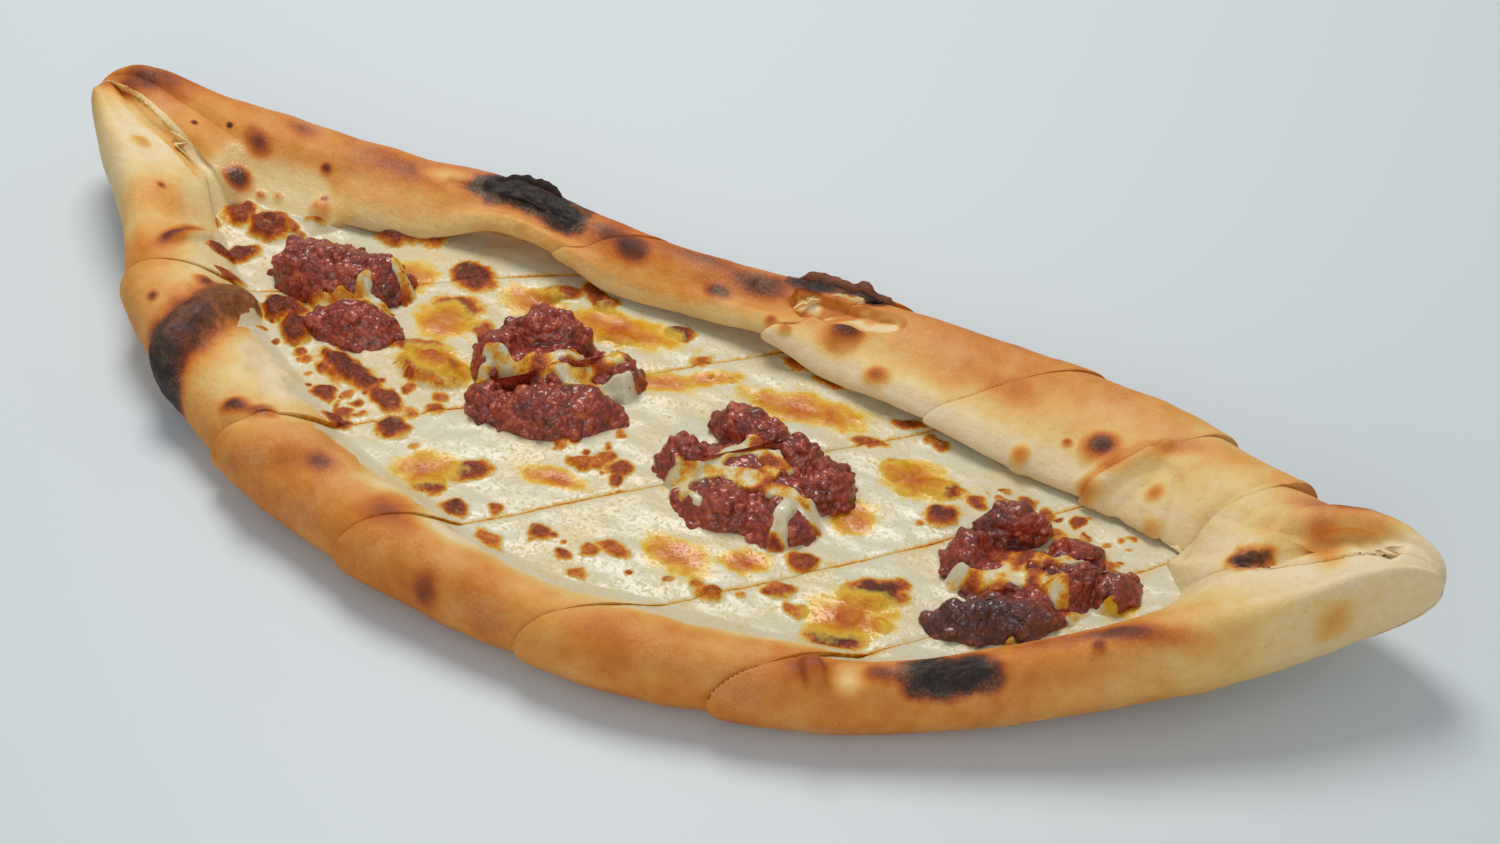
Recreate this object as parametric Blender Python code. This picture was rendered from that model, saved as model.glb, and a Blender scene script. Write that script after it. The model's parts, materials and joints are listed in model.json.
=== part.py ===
"""Turkish pide: an open boat of baked dough, filled with melted cheese and four heaps of minced meat.

The loaf is cut crosswise into six slices that still lie together. Each slice is one solid of bread
and one of cheese, and each heap of meat is cut in two by the knife. X runs along the loaf, Y across
it towards the folded rim, and Z up. The flat underside lies at Z = 0. Units are metres.
"""

import math

import bmesh
import bpy
from mathutils import Vector, noise

MM = 0.001

# ---- Driving dimensions -------------------------------------------------------------------------

LOAF_LENGTH = 431 * MM  # before the slices slip past each other
TIP_ROUND = 24 * MM  # length over which each end rounds off
TIP_LIFT = 16 * MM  # the ends curl up from the table
LIFT_START = 105 * MM  # distance from the middle where the curl begins
FLOOR_THICK = 5.5 * MM  # dough under the cheese
CHEESE_TOP = 12.5 * MM  # level of the melted cheese
CHEESE_CROWN = 0.6 * MM  # how far the cheese swells above that
LIP_THICK = 4.5 * MM  # edge of the folded far rim
JOINT_GAP = 0.4 * MM  # clearance between touching pieces
CUT_WIDTH = 0.8 * MM  # width of each knife cut
SPINE_Y = 41.7 * MM  # brings the middle of the loaf's width to Y = 0

# Plan of the uncut loaf, in mm: station along X, then the near and the far edge.
OUTLINE = [
    (-216, -20, 4),
    (-200, -29, 5),
    (-179, -45, 7),
    (-155, -71, 14),
    (-116, -95, 20),
    (-77, -110, 24),
    (-40, -117, 21),
    (5, -119, 26),
    (43, -116, 32),
    (97, -97, 35),
    (128, -79, 32),
    (156, -60, 22),
    (182, -39, 13),
    (200, -19, 10),
    (216, -8, 10),
]
# Rims, in mm: station, near width, near height, far width, far height.
RIMS = [
    (-216, 30, 24, 22, 24),
    (-165, 39, 25, 31, 26),
    (-116, 36, 23, 30, 26),
    (-77, 31, 22, 23, 27),
    (-31, 26, 22, 21, 26),
    (5, 22, 21, 23, 25),
    (43, 25, 21, 32, 26),
    (97, 19, 21, 40, 26),
    (145, 23, 24, 39, 27),
    (170, 28, 26, 37, 28),
    (216, 30, 27, 18, 26),
]
# The lip of the folded far rim stands off the cheese in places: station and height, in mm.
POCKETS = [
    (-216, 0.0),
    (-100, 0.0),
    (-78, 6.5),
    (-52, 4.5),
    (-38, 0.3),
    (-8, 1.8),
    (14, 4.5),
    (34, 0.3),
    (55, 2.2),
    (84, 1.5),
    (104, 0.0),
    (216, 0.0),
]
# Knife cuts: where each crosses Y = 0 in mm, its angle to the loaf's length in degrees, and how far
# in mm the slice after it has slipped along it.
CUTS = [
    (-118.1, 34.7, 1.5),
    (-31.8, 43.9, 3.0),
    (29.8, 45.4, 2.0),
    (86.1, 47.3, 2.5),
    (126.0, 49.3, 4.5),
]
# Heaps of meat, in mm: middle X and Y, half length, half width, height above the cheese; then the
# number of the cut that halves each.
HEAPS = [
    (-103, 8, 26, 19, 9, 0),
    (-31, 2, 27, 19, 12, 1),
    (38, -4, 28, 18, 12, 2),
    (122, 4, 24, 16, 12, 4),
]
MEAT_DEPTH = 4 * MM  # how deep the meat has sunk into the cheese
HEAP_TURN = math.radians(20)  # angle of each heap's length to X

STATIONS = 46
CHEESE_END = 168 * MM  # the cheese reaches this far towards each end

CRUST = (0.49, 0.16, 0.03)
CHEESE = (0.62, 0.52, 0.29)
MEAT = (0.22, 0.045, 0.025)


# ---- Smooth values along the loaf -----------------------------------------------------------------


def smooth_row(rows, x):
    """The row of a table at x, in metres, on a smooth curve through its rows. Column 0 is x in mm."""
    at = x / MM
    last = len(rows) - 1
    i = max(0, min(last - 1, sum(row[0] <= at for row in rows) - 1))
    before, low, high, after = (rows[max(0, min(last, i + step))] for step in (-1, 0, 1, 2))
    span = high[0] - low[0]
    t = max(0.0, min(1.0, (at - low[0]) / span))
    found = []
    for k in range(1, len(low)):
        rise_low = (high[k] - before[k]) / (high[0] - before[0]) * span
        rise_high = (after[k] - low[k]) / (after[0] - low[0]) * span
        ends = (2 * t**3 - 3 * t**2 + 1) * low[k] + (3 * t**2 - 2 * t**3) * high[k]
        slopes = (t**3 - 2 * t**2 + t) * rise_low + (t**3 - t**2) * rise_high
        found.append((ends + slopes) * MM)
    return found


def tip_factor(x):
    """1 along the loaf, falling to 0 at its two ends as a quarter circle does."""
    into = (abs(x) - (LOAF_LENGTH / 2 - TIP_ROUND)) / TIP_ROUND
    return math.sqrt(1 - min(1.0, max(0.0, into)) ** 2)


def lift_at(x):
    """How high the underside stands off the table."""
    into = (abs(x) - LIFT_START) / (LOAF_LENGTH / 2 - LIFT_START)
    return TIP_LIFT * max(0.0, into) ** 1.6


def edges_at(x):
    """The near and the far edge of the uncut loaf, in Y."""
    near, far = smooth_row(OUTLINE, x)
    middle, half = (near + far) / 2 + SPINE_Y, (far - near) / 2 * tip_factor(x)
    return middle - half, middle + half


def rims_at(x):
    """Width and height of the near rim and of the far one, which just meet at the loaf's ends."""
    near_width, near_height, far_width, far_height = smooth_row(RIMS, x)
    near, far = edges_at(x)
    share = min(1.0, 0.94 * (far - near) / (near_width + far_width))
    low = 0.4 + 0.6 * tip_factor(x)
    return near_width * share, near_height * low, far_width * share, far_height * low


# ---- Cross-sections -------------------------------------------------------------------------------

NEAR_RIM = [  # share of the rim's width in from the loaf's edge, and of its height
    (0.50, 0.00),
    (0.20, 0.05),
    (0.03, 0.28),
    (0.00, 0.52),
    (0.07, 0.78),
    (0.22, 0.95),
    (0.42, 1.00),
    (0.64, 0.93),
    (0.84, 0.76),
]
FAR_RIM = [
    (0.74, 0.88),
    (0.54, 0.98),
    (0.34, 1.00),
    (0.17, 0.92),
    (0.05, 0.74),
    (0.00, 0.50),
    (0.03, 0.26),
    (0.20, 0.05),
    (0.50, 0.00),
]
FIRST_INNER, LAST_INNER, UNDER_LIP = 18, 30, 32  # the points of a bread section that face the cheese


def rounded(points):
    """A closed outline with one more point between each two, on a smooth curve through them."""
    count = len(points)
    found = []
    for i in range(count):
        before, here, after, beyond = (points[(i + step) % count] for step in (-1, 0, 1, 2))
        found.append(here)
        found.append(tuple((9 * (b + c) - a - d) / 16 for a, b, c, d in zip(before, here, after, beyond)))
    return found


def bread_section(x):
    """The loaf's closed outline at x as (y, z) pairs. They run from the underside round the near rim,
    over the floor, under and over the folded far rim, and back."""
    near, far = edges_at(x)
    near_width, near_height, far_width, far_height = rims_at(x)
    near_toe, far_toe = near + near_width, far - far_width
    gap = far_toe - near_toe
    closed = max(0.0, 1 - gap / (24 * MM))
    floor = FLOOR_THICK + closed * 0.45 * near_height
    cheese = CHEESE_TOP + closed * 0.25 * near_height
    lip = cheese + 2 * JOINT_GAP + CHEESE_CROWN + max(0.0, smooth_row(POCKETS, x)[0])
    points = [(near + a * near_width, b * near_height) for a, b in NEAR_RIM]
    points += [
        (near_toe, cheese),
        (near_toe + 0.05 * gap, floor + 0.25 * (cheese - floor)),
        (near_toe + 0.15 * gap, floor),
        (near_toe + 0.50 * gap, floor),
        (near_toe + 0.90 * gap, floor),
        (far_toe + 0.20 * far_width, floor + 0.15 * (cheese - floor)),
        (far_toe + 0.30 * far_width, (floor + lip) / 2),
        (far_toe + 0.16 * far_width, lip + 0.3 * MM),
        (far_toe, lip),
        (far_toe - 0.5 * MM, lip + 0.55 * LIP_THICK),
        (far_toe + 0.09 * far_width, lip + LIP_THICK + 0.2 * (far_height - lip - LIP_THICK)),
    ]
    points += [(far - a * far_width, b * far_height) for a, b in FAR_RIM]
    return [(y, max(0.0, z) + lift_at(x)) for y, z in rounded(points)]


def cheese_section(x):
    """The cheese's closed outline at x: it lies in the boat, a joint's clearance from the dough."""
    bread = bread_section(x)
    found = []
    for i in range(FIRST_INNER, LAST_INNER):
        along = Vector(bread[i + 1]) - Vector(bread[i - 1])
        away = Vector((-along.y, along.x)).normalized() * JOINT_GAP
        found.append((bread[i][0] + away.x, bread[i][1] + away.y))
    start, end = found[0][0], bread[UNDER_LIP][0] - JOINT_GAP
    top = bread[FIRST_INNER][1]
    for share, crown in ((1.0, 0.0), (0.8, 0.7), (0.6, 1.0), (0.4, 1.0), (0.2, 0.7), (0.03, 0.2)):
        found.append((start + share * (end - start), top + crown * CHEESE_CROWN))
    return found


# ---- Solids -----------------------------------------------------------------------------------------


def stations():
    """Places along X for the sections, closer together towards the loaf's ends."""
    turns = [math.pi * (i + 1.2) / (STATIONS + 1.4) for i in range(STATIONS)]
    return [-LOAF_LENGTH / 2 * math.sin(math.pi / 2 - turn) for turn in turns]


def loft(section, places):
    """A closed solid through the sections at these places, as a bmesh."""
    bm = bmesh.new()
    rings = [[bm.verts.new((x, y, z)) for y, z in section(x)] for x in places]
    count = len(rings[0])
    for ring, after in zip(rings, rings[1:]):
        for i in range(count):
            j = (i + 1) % count
            bm.faces.new((ring[i], ring[j], after[j]))
            bm.faces.new((ring[i], after[j], after[i]))
    bm.faces.new(reversed(rings[0]))
    bm.faces.new(rings[-1])
    bmesh.ops.triangulate(bm, faces=bm.faces[:])
    bmesh.ops.recalc_face_normals(bm, faces=bm.faces)
    return bm


def cut_direction(number):
    """The direction of a knife cut in plan, from the near edge to the far edge."""
    turn = math.radians(CUTS[number][1])
    return Vector((math.cos(turn), math.sin(turn), 0))


def keep_side(bm, number, side):
    """Trims a bmesh to what lies after knife cut number (side 1) or before it (side -1)."""
    direction = cut_direction(number)
    normal = Vector((direction.y, -direction.x, 0)) * side
    place = Vector((CUTS[number][0] * MM, 0, 0)) + normal * CUT_WIDTH / 2
    everything = bm.verts[:] + bm.edges[:] + bm.faces[:]
    bmesh.ops.bisect_plane(bm, geom=everything, dist=1e-7, plane_co=place, plane_no=normal, clear_inner=True)
    bmesh.ops.holes_fill(bm, edges=[edge for edge in bm.edges if edge.is_boundary], sides=0)
    bmesh.ops.triangulate(bm, faces=bm.faces[:])
    bmesh.ops.recalc_face_normals(bm, faces=bm.faces)


def keep_slice(bm, number):
    """Trims a bmesh to slice number, counted from 0."""
    if number > 0:
        keep_side(bm, number - 1, 1)
    if number < len(CUTS):
        keep_side(bm, number, -1)
    return bm


def slip(number):
    """How far slice number has moved, with the middle of the loaf staying put."""
    moves = [-cut_direction(cut) * CUTS[cut][2] * MM for cut in range(len(CUTS))]
    nowhere = Vector((0, 0, 0))
    return sum(moves[:number], nowhere) - sum(moves, nowhere) / 2


def heap(number, swell=0.0):
    """A craggy dome of minced meat as a bmesh. Swollen, it is the hollow that the dome lies in."""
    x, y, half_length, half_width, height = (value * MM for value in HEAPS[number][:5])
    bm = bmesh.new()
    bmesh.ops.create_icosphere(bm, subdivisions=3, radius=1)
    everything = bm.verts[:] + bm.edges[:] + bm.faces[:]
    bmesh.ops.bisect_plane(bm, geom=everything, dist=1e-4, plane_co=(0, 0, 0), plane_no=(0, 0, 1), clear_inner=True)
    bmesh.ops.holes_fill(bm, edges=[edge for edge in bm.edges if edge.is_boundary], sides=0)
    for vert in bm.verts:
        unit = vert.co.copy()
        lump = 1 + 0.24 * noise.noise(unit * 1.6 + Vector((number * 7.3, 1.1, 4.2)))
        lump += 0.12 * noise.noise(unit * 3.7 + Vector((2.5, number * 5.1, 0.7)))
        along = unit.x * (half_length * lump + swell)
        across = unit.y * (half_width * lump + swell)
        if unit.z > 1e-3:
            rise = unit.z**0.7 * (height + MEAT_DEPTH) * lump + unit.z * swell
        else:
            rise = -swell
        vert.co.x = x + along * math.cos(HEAP_TURN) - across * math.sin(HEAP_TURN)
        vert.co.y = y + along * math.sin(HEAP_TURN) + across * math.cos(HEAP_TURN)
        vert.co.z = CHEESE_TOP - MEAT_DEPTH + lift_at(x) + rise
    bmesh.ops.triangulate(bm, faces=bm.faces[:])
    bmesh.ops.recalc_face_normals(bm, faces=bm.faces)
    return bm


def make_object(name, bm, material, move):
    """Puts the object for a piece in the scene."""
    mesh = bpy.data.meshes.new(name)
    bm.to_mesh(mesh)
    bm.free()
    mesh.materials.append(material)
    piece = bpy.data.objects.new(name, mesh)
    piece.location = move
    bpy.context.scene.collection.objects.link(piece)
    return piece


def hollow_out(piece, number, move):
    """Cuts heap number's hollow from a slice of cheese."""
    cutter = make_object(f"hollow_{piece.name}_{number + 1}", heap(number, JOINT_GAP), piece.data.materials[0], move)
    cutter.hide_render = True
    cutter.display_type = "WIRE"
    modifier = piece.modifiers.new("hollow", "BOOLEAN")
    modifier.operation = "DIFFERENCE"
    modifier.solver = "EXACT"
    modifier.object = cutter


def food_material(name, colour, roughness):
    material = bpy.data.materials.new(name)
    material.use_nodes = True
    shader = material.node_tree.nodes["Principled BSDF"]
    shader.inputs["Base Color"].default_value = (*colour, 1)
    shader.inputs["Roughness"].default_value = roughness
    shader.inputs["Metallic"].default_value = 0
    return material


def build():
    for obj in list(bpy.data.objects):
        bpy.data.objects.remove(obj)
    crust = food_material("crust", CRUST, 0.6)
    cheese = food_material("cheese", CHEESE, 0.35)
    meat = food_material("meat", MEAT, 0.45)
    places = stations()
    filled = [x for x in places if abs(x) <= CHEESE_END]
    slices = []
    for number in range(len(CUTS) + 1):
        move = slip(number)
        make_object(f"bread_{number + 1}", keep_slice(loft(bread_section, places), number), crust, move)
        filling = keep_slice(loft(cheese_section, filled), number)
        slices.append(make_object(f"cheese_{number + 1}", filling, cheese, move))
    for number, values in enumerate(HEAPS):
        cut = values[5]
        for letter, side, home in (("a", -1, cut), ("b", 1, cut + 1)):
            half = heap(number)
            keep_side(half, cut, side)
            make_object(f"meat_{number + 1}{letter}", half, meat, slip(home))
            hollow_out(slices[home], number, slip(home))


build()
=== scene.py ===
# %% [markdown]
# # Turkish pide: a boat of baked dough filled with cheese and minced meat
#
# The part comes packed as twenty plain solids: six slices of bread, six of cheese and four heaps of
# meat, each cut in two. This lesson gives every one of them its real surface. Lengths are written in
# millimetres, because a cook and a baker think in them, and turned into metres when a mesh is written.

import json
import math

import bpy
import numpy as np
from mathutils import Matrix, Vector

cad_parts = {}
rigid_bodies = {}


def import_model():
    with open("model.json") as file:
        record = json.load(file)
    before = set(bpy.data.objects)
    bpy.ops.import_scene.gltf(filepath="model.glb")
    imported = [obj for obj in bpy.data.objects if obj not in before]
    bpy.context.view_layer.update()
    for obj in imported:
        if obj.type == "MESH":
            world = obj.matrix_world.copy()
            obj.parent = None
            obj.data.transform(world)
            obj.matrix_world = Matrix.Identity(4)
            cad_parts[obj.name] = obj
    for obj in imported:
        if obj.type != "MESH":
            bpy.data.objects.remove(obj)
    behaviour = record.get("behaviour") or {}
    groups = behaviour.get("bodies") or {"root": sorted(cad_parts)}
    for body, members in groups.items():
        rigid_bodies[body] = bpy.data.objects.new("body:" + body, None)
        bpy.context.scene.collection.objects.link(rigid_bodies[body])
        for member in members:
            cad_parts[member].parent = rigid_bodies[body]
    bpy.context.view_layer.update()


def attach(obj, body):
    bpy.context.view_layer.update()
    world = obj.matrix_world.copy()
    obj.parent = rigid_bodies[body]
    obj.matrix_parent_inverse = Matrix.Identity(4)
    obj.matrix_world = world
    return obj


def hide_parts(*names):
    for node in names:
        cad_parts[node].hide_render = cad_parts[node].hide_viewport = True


for thing in list(bpy.data.objects):
    bpy.data.objects.remove(thing)
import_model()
bpy.ops.object.select_all(action="DESELECT")
MM = 0.001

# %% [markdown]
# ## The loaf's measures
#
# These are the same driving dimensions as the solids have, so each new surface lies where its solid
# lies. X runs along the loaf, Y across it towards the folded rim, and Z up from the table.

# %% Driving dimensions
LOAF_LENGTH = 431
TIP_ROUND = 24  # length over which each end rounds off
TIP_LIFT = 16  # the ends curl up from the table
LIFT_START = 105
FLOOR_THICK = 5.5
CHEESE_TOP = 12.5
LIP_THICK = 4.5
LIP_CLEAR = 1.4  # from the level of the cheese up to a closed lip
SPINE_Y = 41.7

OUTLINE = [  # station, near edge, far edge
    (-216, -20, 4), (-200, -29, 5), (-179, -45, 7), (-155, -71, 14), (-116, -95, 20),
    (-77, -110, 24), (-40, -117, 21), (5, -119, 26), (43, -116, 32), (97, -97, 35),
    (128, -79, 32), (156, -60, 22), (182, -39, 13), (200, -19, 10), (216, -8, 10),
]
RIMS = [  # station, near width, near height, far width, far height
    (-216, 30, 24, 22, 24), (-165, 39, 25, 31, 26), (-116, 36, 23, 30, 26), (-77, 31, 22, 23, 27),
    (-31, 26, 22, 21, 26), (5, 22, 21, 23, 25), (43, 25, 21, 32, 26), (97, 19, 21, 40, 26),
    (145, 23, 24, 39, 27), (170, 28, 26, 37, 28), (216, 30, 27, 18, 26),
]
POCKETS = [  # station, how far the folded lip stands off the cheese
    (-216, 0), (-100, 0), (-78, 6.5), (-52, 4.5), (-38, 0.3), (-8, 1.8), (14, 4.5), (34, 0.3),
    (55, 2.2), (84, 1.5), (104, 0), (216, 0),
]
CUTS = [  # place on the middle line, angle to the length in degrees, how far the next slice slipped
    (-118.1, 34.7, 1.5), (-31.8, 43.9, 3.0), (29.8, 45.4, 2.0), (86.1, 47.3, 2.5), (126.0, 49.3, 4.5),
]
SLICES = len(CUTS) + 1

# %% [markdown]
# ## Noise to shape and stain with
#
# Baked dough, melted cheese and mince are uneven at every scale. Two kinds of repeatable noise make
# all of it: a smooth one for swells and stains, and one of scattered points for crumbs and grains.
# They work on whole arrays of points at once, because the meshes have some hundred thousand points.

# %% Smooth noise and scattered points
def lattice(cell, seed):
    """A repeatable random whole number for each cell of a lattice."""
    mixed = (cell[:, 0] * 73856093) ^ (cell[:, 1] * 19349663) ^ (cell[:, 2] * 83492791) ^ (seed * 40503071)
    mixed &= 0xFFFFFFFF
    for _ in range(2):
        mixed = ((mixed ^ (mixed >> 16)) * 0x45D9F3B) & 0xFFFFFFFF
    return mixed ^ (mixed >> 16)


def in_unit(code):
    """Three numbers from 0 to 1 out of each random whole number."""
    return np.stack([(code >> shift & 1023) / 1023 for shift in (0, 10, 20)], axis=1)


def noise(points, size, seed=0):
    """Smooth noise, mostly between -1 and 1, with bumps about size across."""
    place = points / size
    cell = np.floor(place).astype(np.int64)
    part = place - cell
    fade = part**3 * (part * (part * 6 - 15) + 10)
    total = np.zeros(len(place))
    for corner in np.ndindex(2, 2, 2):
        step = np.array(corner)
        slope = in_unit(lattice(cell + step, seed)) * 2 - 1
        weight = np.where(step, fade, 1 - fade).prod(axis=1)
        total += weight * (slope * (part - step)).sum(axis=1)
    return total * 1.6


def pebbles(points, size, seed=0):
    """Distances to the nearest and second nearest of a scatter of points, and the nearest one's number."""
    place = points / size
    cell = np.floor(place).astype(np.int64)
    nearest = np.full(len(place), 9.0)
    second = nearest.copy()
    own = np.zeros(len(place))
    for corner in np.ndindex(3, 3, 3):
        here = cell + np.array(corner) - 1
        code = lattice(here, seed)
        away = np.linalg.norm(here + in_unit(code) - place, axis=1)
        closer = away < nearest
        second = np.where(closer, nearest, np.minimum(second, away))
        own = np.where(closer, (code >> 7 & 1023) / 1023, own)
        nearest = np.where(closer, away, nearest)
    return nearest, second, own


def smooth_step(low, high, value):
    """0 below low and 1 above high, with a soft change between them."""
    t = np.clip((value - low) / (high - low), 0, 1)
    return t * t * (3 - 2 * t)


def mound(points, x, y, long, wide, turn=0.0):
    """1 at a place in plan, falling softly to 0 at the edge of an ellipse turned by turn degrees."""
    across, up = points[:, 0] - x, points[:, 1] - y
    c, s = math.cos(math.radians(turn)), math.sin(math.radians(turn))
    spread = ((across * c + up * s) / long) ** 2 + ((up * c - across * s) / wide) ** 2
    return np.clip(1 - spread, 0, 1) ** 2


def smooth_path(path, steps=6):
    """More points on a smooth curve through a path's points."""
    path = np.array(path, float)
    ends = np.concatenate([[2 * path[0] - path[1]], path, [2 * path[-1] - path[-2]]])
    found = []
    for i in range(len(path) - 1):
        a, b, c, d = ends[i:i + 4]
        for t in np.arange(steps) / steps:
            found.append(0.5 * (2 * b + (c - a) * t + (2 * a - 5 * b + 4 * c - d) * t * t
                                + (3 * b - a - 3 * c + d) * t**3))
    return np.array(found + [path[-1]])


def beside(points, path, reach=25):
    """Each point's distance from a path, the side of it in plan (1 is left), and its share of the way along.

    A path of (x, y) points is measured in plan, and one of (x, y, z) points in space. Points that lie
    further than the reach are only called far away."""
    path = smooth_path(path)
    own = points[:, :path.shape[1]]
    close = np.all((own > path.min(axis=0) - reach) & (own < path.max(axis=0) + reach), axis=1)
    own = own[close]
    best, side, share = np.full(len(own), 1e9), np.zeros(len(own)), np.zeros(len(own))
    for i, (a, b) in enumerate(zip(path, path[1:])):
        run = b - a
        rel = own - a
        t = np.clip(rel @ run / (run @ run), 0, 1)
        away = np.linalg.norm(rel - t[:, None] * run, axis=1)
        closer = away < best
        best = np.where(closer, away, best)
        side = np.where(closer, np.sign(run[0] * rel[:, 1] - run[1] * rel[:, 0]), side)
        share = np.where(closer, (i + t) / (len(path) - 1), share)
    found = np.full((3, len(points)), [[1e9], [0], [0]])
    found[:, close] = best, side, share
    return found


def patch(points, x, y, z, long, wide, turn=0.0):
    """As a mound, but fading with height as well, so that it stays on its own side of a rim."""
    spread = ((points[:, 2] - z) / max(wide, 5)) ** 2
    return mound(points, x, y, long, wide, turn) * np.clip(1 - spread, 0, 1)

# %% [markdown]
# ## The shape of the loaf as formulas
#
# A baker rolls an oval sheet, folds its long edges over the filling and pinches the ends shut. In
# section that is one closed line: underside, near rim, floor, then under and over the folded lip.
# The same few points as the solid has are rounded four times instead of once, so the curve is fine.

# %% Values along the loaf
def along(rows, x):
    """The columns of a table at places x, on smooth curves through its rows."""
    table = np.array(rows, float)
    at, values = table[:, 0], table[:, 1:]
    last = len(at) - 1
    low = np.clip(np.searchsorted(at, x, side="right") - 1, 0, last - 1)
    before, high, after = np.maximum(low - 1, 0), low + 1, np.minimum(low + 2, last)
    span = (at[high] - at[low])[:, None]
    t = np.clip((x - at[low])[:, None] / span, 0, 1)
    rise_low = (values[high] - values[before]) / (at[high] - at[before])[:, None] * span
    rise_high = (values[after] - values[low]) / (at[after] - at[low])[:, None] * span
    ends = (2 * t**3 - 3 * t**2 + 1) * values[low] + (3 * t**2 - 2 * t**3) * values[high]
    return (ends + (t**3 - 2 * t**2 + t) * rise_low + (t**3 - t**2) * rise_high).T


def tip_factor(x):
    into = (np.abs(x) - (LOAF_LENGTH / 2 - TIP_ROUND)) / TIP_ROUND
    return np.sqrt(1 - np.clip(into, 0, 1) ** 2)


def lift_at(x):
    return TIP_LIFT * np.clip((np.abs(x) - LIFT_START) / (LOAF_LENGTH / 2 - LIFT_START), 0, None) ** 1.6


def edges_at(x):
    near, far = along(OUTLINE, x)
    middle, half = (near + far) / 2 + SPINE_Y, (far - near) / 2 * tip_factor(x)
    return middle - half, middle + half


def rims_at(x):
    near_width, near_height, far_width, far_height = along(RIMS, x)
    near, far = edges_at(x)
    share = np.minimum(1, 0.94 * (far - near) / (near_width + far_width))
    return near_width * share, near_height, far_width * share, far_height


# %% The closed line of a section
NEAR_RIM = [
    (0.50, 0.00), (0.20, 0.05), (0.03, 0.28), (0.00, 0.52), (0.07, 0.78), (0.22, 0.95), (0.42, 1.00),
    (0.64, 0.93), (0.84, 0.76),
]
FAR_RIM = [
    (0.74, 0.88), (0.54, 0.98), (0.34, 1.00), (0.17, 0.92), (0.05, 0.74), (0.00, 0.50), (0.03, 0.26),
    (0.20, 0.05), (0.50, 0.00),
]
UNDERSIDE = (0.16, 0.24, 0.38, 0.62, 0.76, 0.84)  # shares of the way back under the loaf
SECTION_POINTS = len(NEAR_RIM) + 11 + len(FAR_RIM) + len(UNDERSIDE)
ROUNDINGS = 4  # each one doubles the points of a section
SHUT_FROM, SHUT_FULL = 150, 174  # beyond these distances from the middle the two rims are pinched together
HIDDEN = [(9, 15), (28, 36)]  # spans of a section under the cheese and under the loaf: these stay coarse


def ring_choice(spans):
    """Which of a section's points to keep: all where it shows, every eighth where it never does."""
    keep = []
    for span in range(spans):
        hidden = any(low <= span < high for low, high in HIDDEN)
        keep += range(span * 2**ROUNDINGS, (span + 1) * 2**ROUNDINGS, 8 if hidden else 1)
    return keep


def bread_rings(x):
    """The loaf's closed outlines at places x, as an array of (y, z) points for each place."""
    near, far = edges_at(x)
    near_width, near_height, far_width, far_height = rims_at(x)
    near_toe, far_toe = near + near_width, far - far_width
    gap = far_toe - near_toe
    closed = np.maximum(0, 1 - gap / 24)
    floor = FLOOR_THICK + closed * 0.45 * near_height
    cheese = CHEESE_TOP + closed * 0.25 * near_height
    lip = cheese + LIP_CLEAR + np.maximum(0, along(POCKETS, x)[0])
    shut = smooth_step(SHUT_FROM, SHUT_FULL, np.abs(x))
    points = [(near + a * near_width, b * near_height) for a, b in NEAR_RIM]
    points += [
        (near_toe, cheese),
        (near_toe + 0.05 * gap, floor + 0.25 * (cheese - floor)),
        (near_toe + 0.15 * gap, floor),
        (near_toe + 0.50 * gap, floor),
        (near_toe + 0.90 * gap, floor),
        (far_toe + 0.20 * far_width, floor + 0.15 * (cheese - floor)),
        (far_toe + 0.30 * far_width, (floor + lip) / 2),
        (far_toe + 0.16 * far_width, lip + 0.3),
        (far_toe, lip),
        (far_toe - 0.5, lip + 0.55 * LIP_THICK),
        (far_toe + 0.09 * far_width, lip + LIP_THICK + 0.2 * (far_height - lip - LIP_THICK)),
    ]
    points += [(far - a * far_width, b * far_height) for a, b in FAR_RIM]
    open_slope = smooth_step(-116, -130, x)
    low_y, high_y = far_toe - 0.22 * gap, far - 0.62 * far_width
    unfold = np.maximum(open_slope, smooth_step(SHUT_FROM - 12, SHUT_FROM + 6, np.abs(x)))
    for i, t in enumerate((-0.12, 0.0, 0.18, 0.36, 0.55, 0.74, 0.9)):
        y, z = points[14 + i]
        slope_y = low_y + (high_y - low_y) * t if t >= 0 else low_y - 0.08 * gap
        slope_z = cheese + (0.92 * far_height - cheese) * t - 3 * max(t, 0) * (1 - t)
        points[14 + i] = (y + unfold * (slope_y - y), z + open_slope * (slope_z - z))
    y, z = points[13]
    points[13] = (y + unfold * (near_toe + 0.62 * gap - y), z)
    full = 0.94 * np.minimum(near_height, far_height)
    points = points[:7] + [(y, z + shut * np.maximum(full - z, 0)) for y, z in points[7:21]] + points[21:]
    points += [(far + (near - far) * share, 0 * x) for share in UNDERSIDE]
    rings = np.array([[y + 0 * x, z + 0 * x] for y, z in points]).transpose(2, 0, 1)
    for _ in range(ROUNDINGS):
        a, c, d = np.roll(rings, 1, axis=1), np.roll(rings, -1, axis=1), np.roll(rings, -2, axis=1)
        rings = np.stack([rings, (9 * (rings + c) - a - d) / 16], axis=2).reshape(len(x), -1, 2)
    middle = 0.4 * np.minimum(near_height, far_height)
    nose = 0.1 + 0.9 * tip_factor(x)
    heights = np.maximum(rings[:, :, 1], 0)
    rings[:, :, 1] = (middle[:, None] + (heights - middle[:, None]) * nose[:, None]) + lift_at(x)[:, None]
    return rings[:, ring_choice(len(points))]

# %% [markdown]
# ## Wrapping a sheet into a loaf
#
# The bread starts as a flat grid primitive, as fine as its smallest blister. Its columns are laid on
# the sections, which wraps it into a tube; the seam is then merged and both ends are filled.
# A bisect with fill makes each knife cut, and every slice slips a little along its cut.

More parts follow.
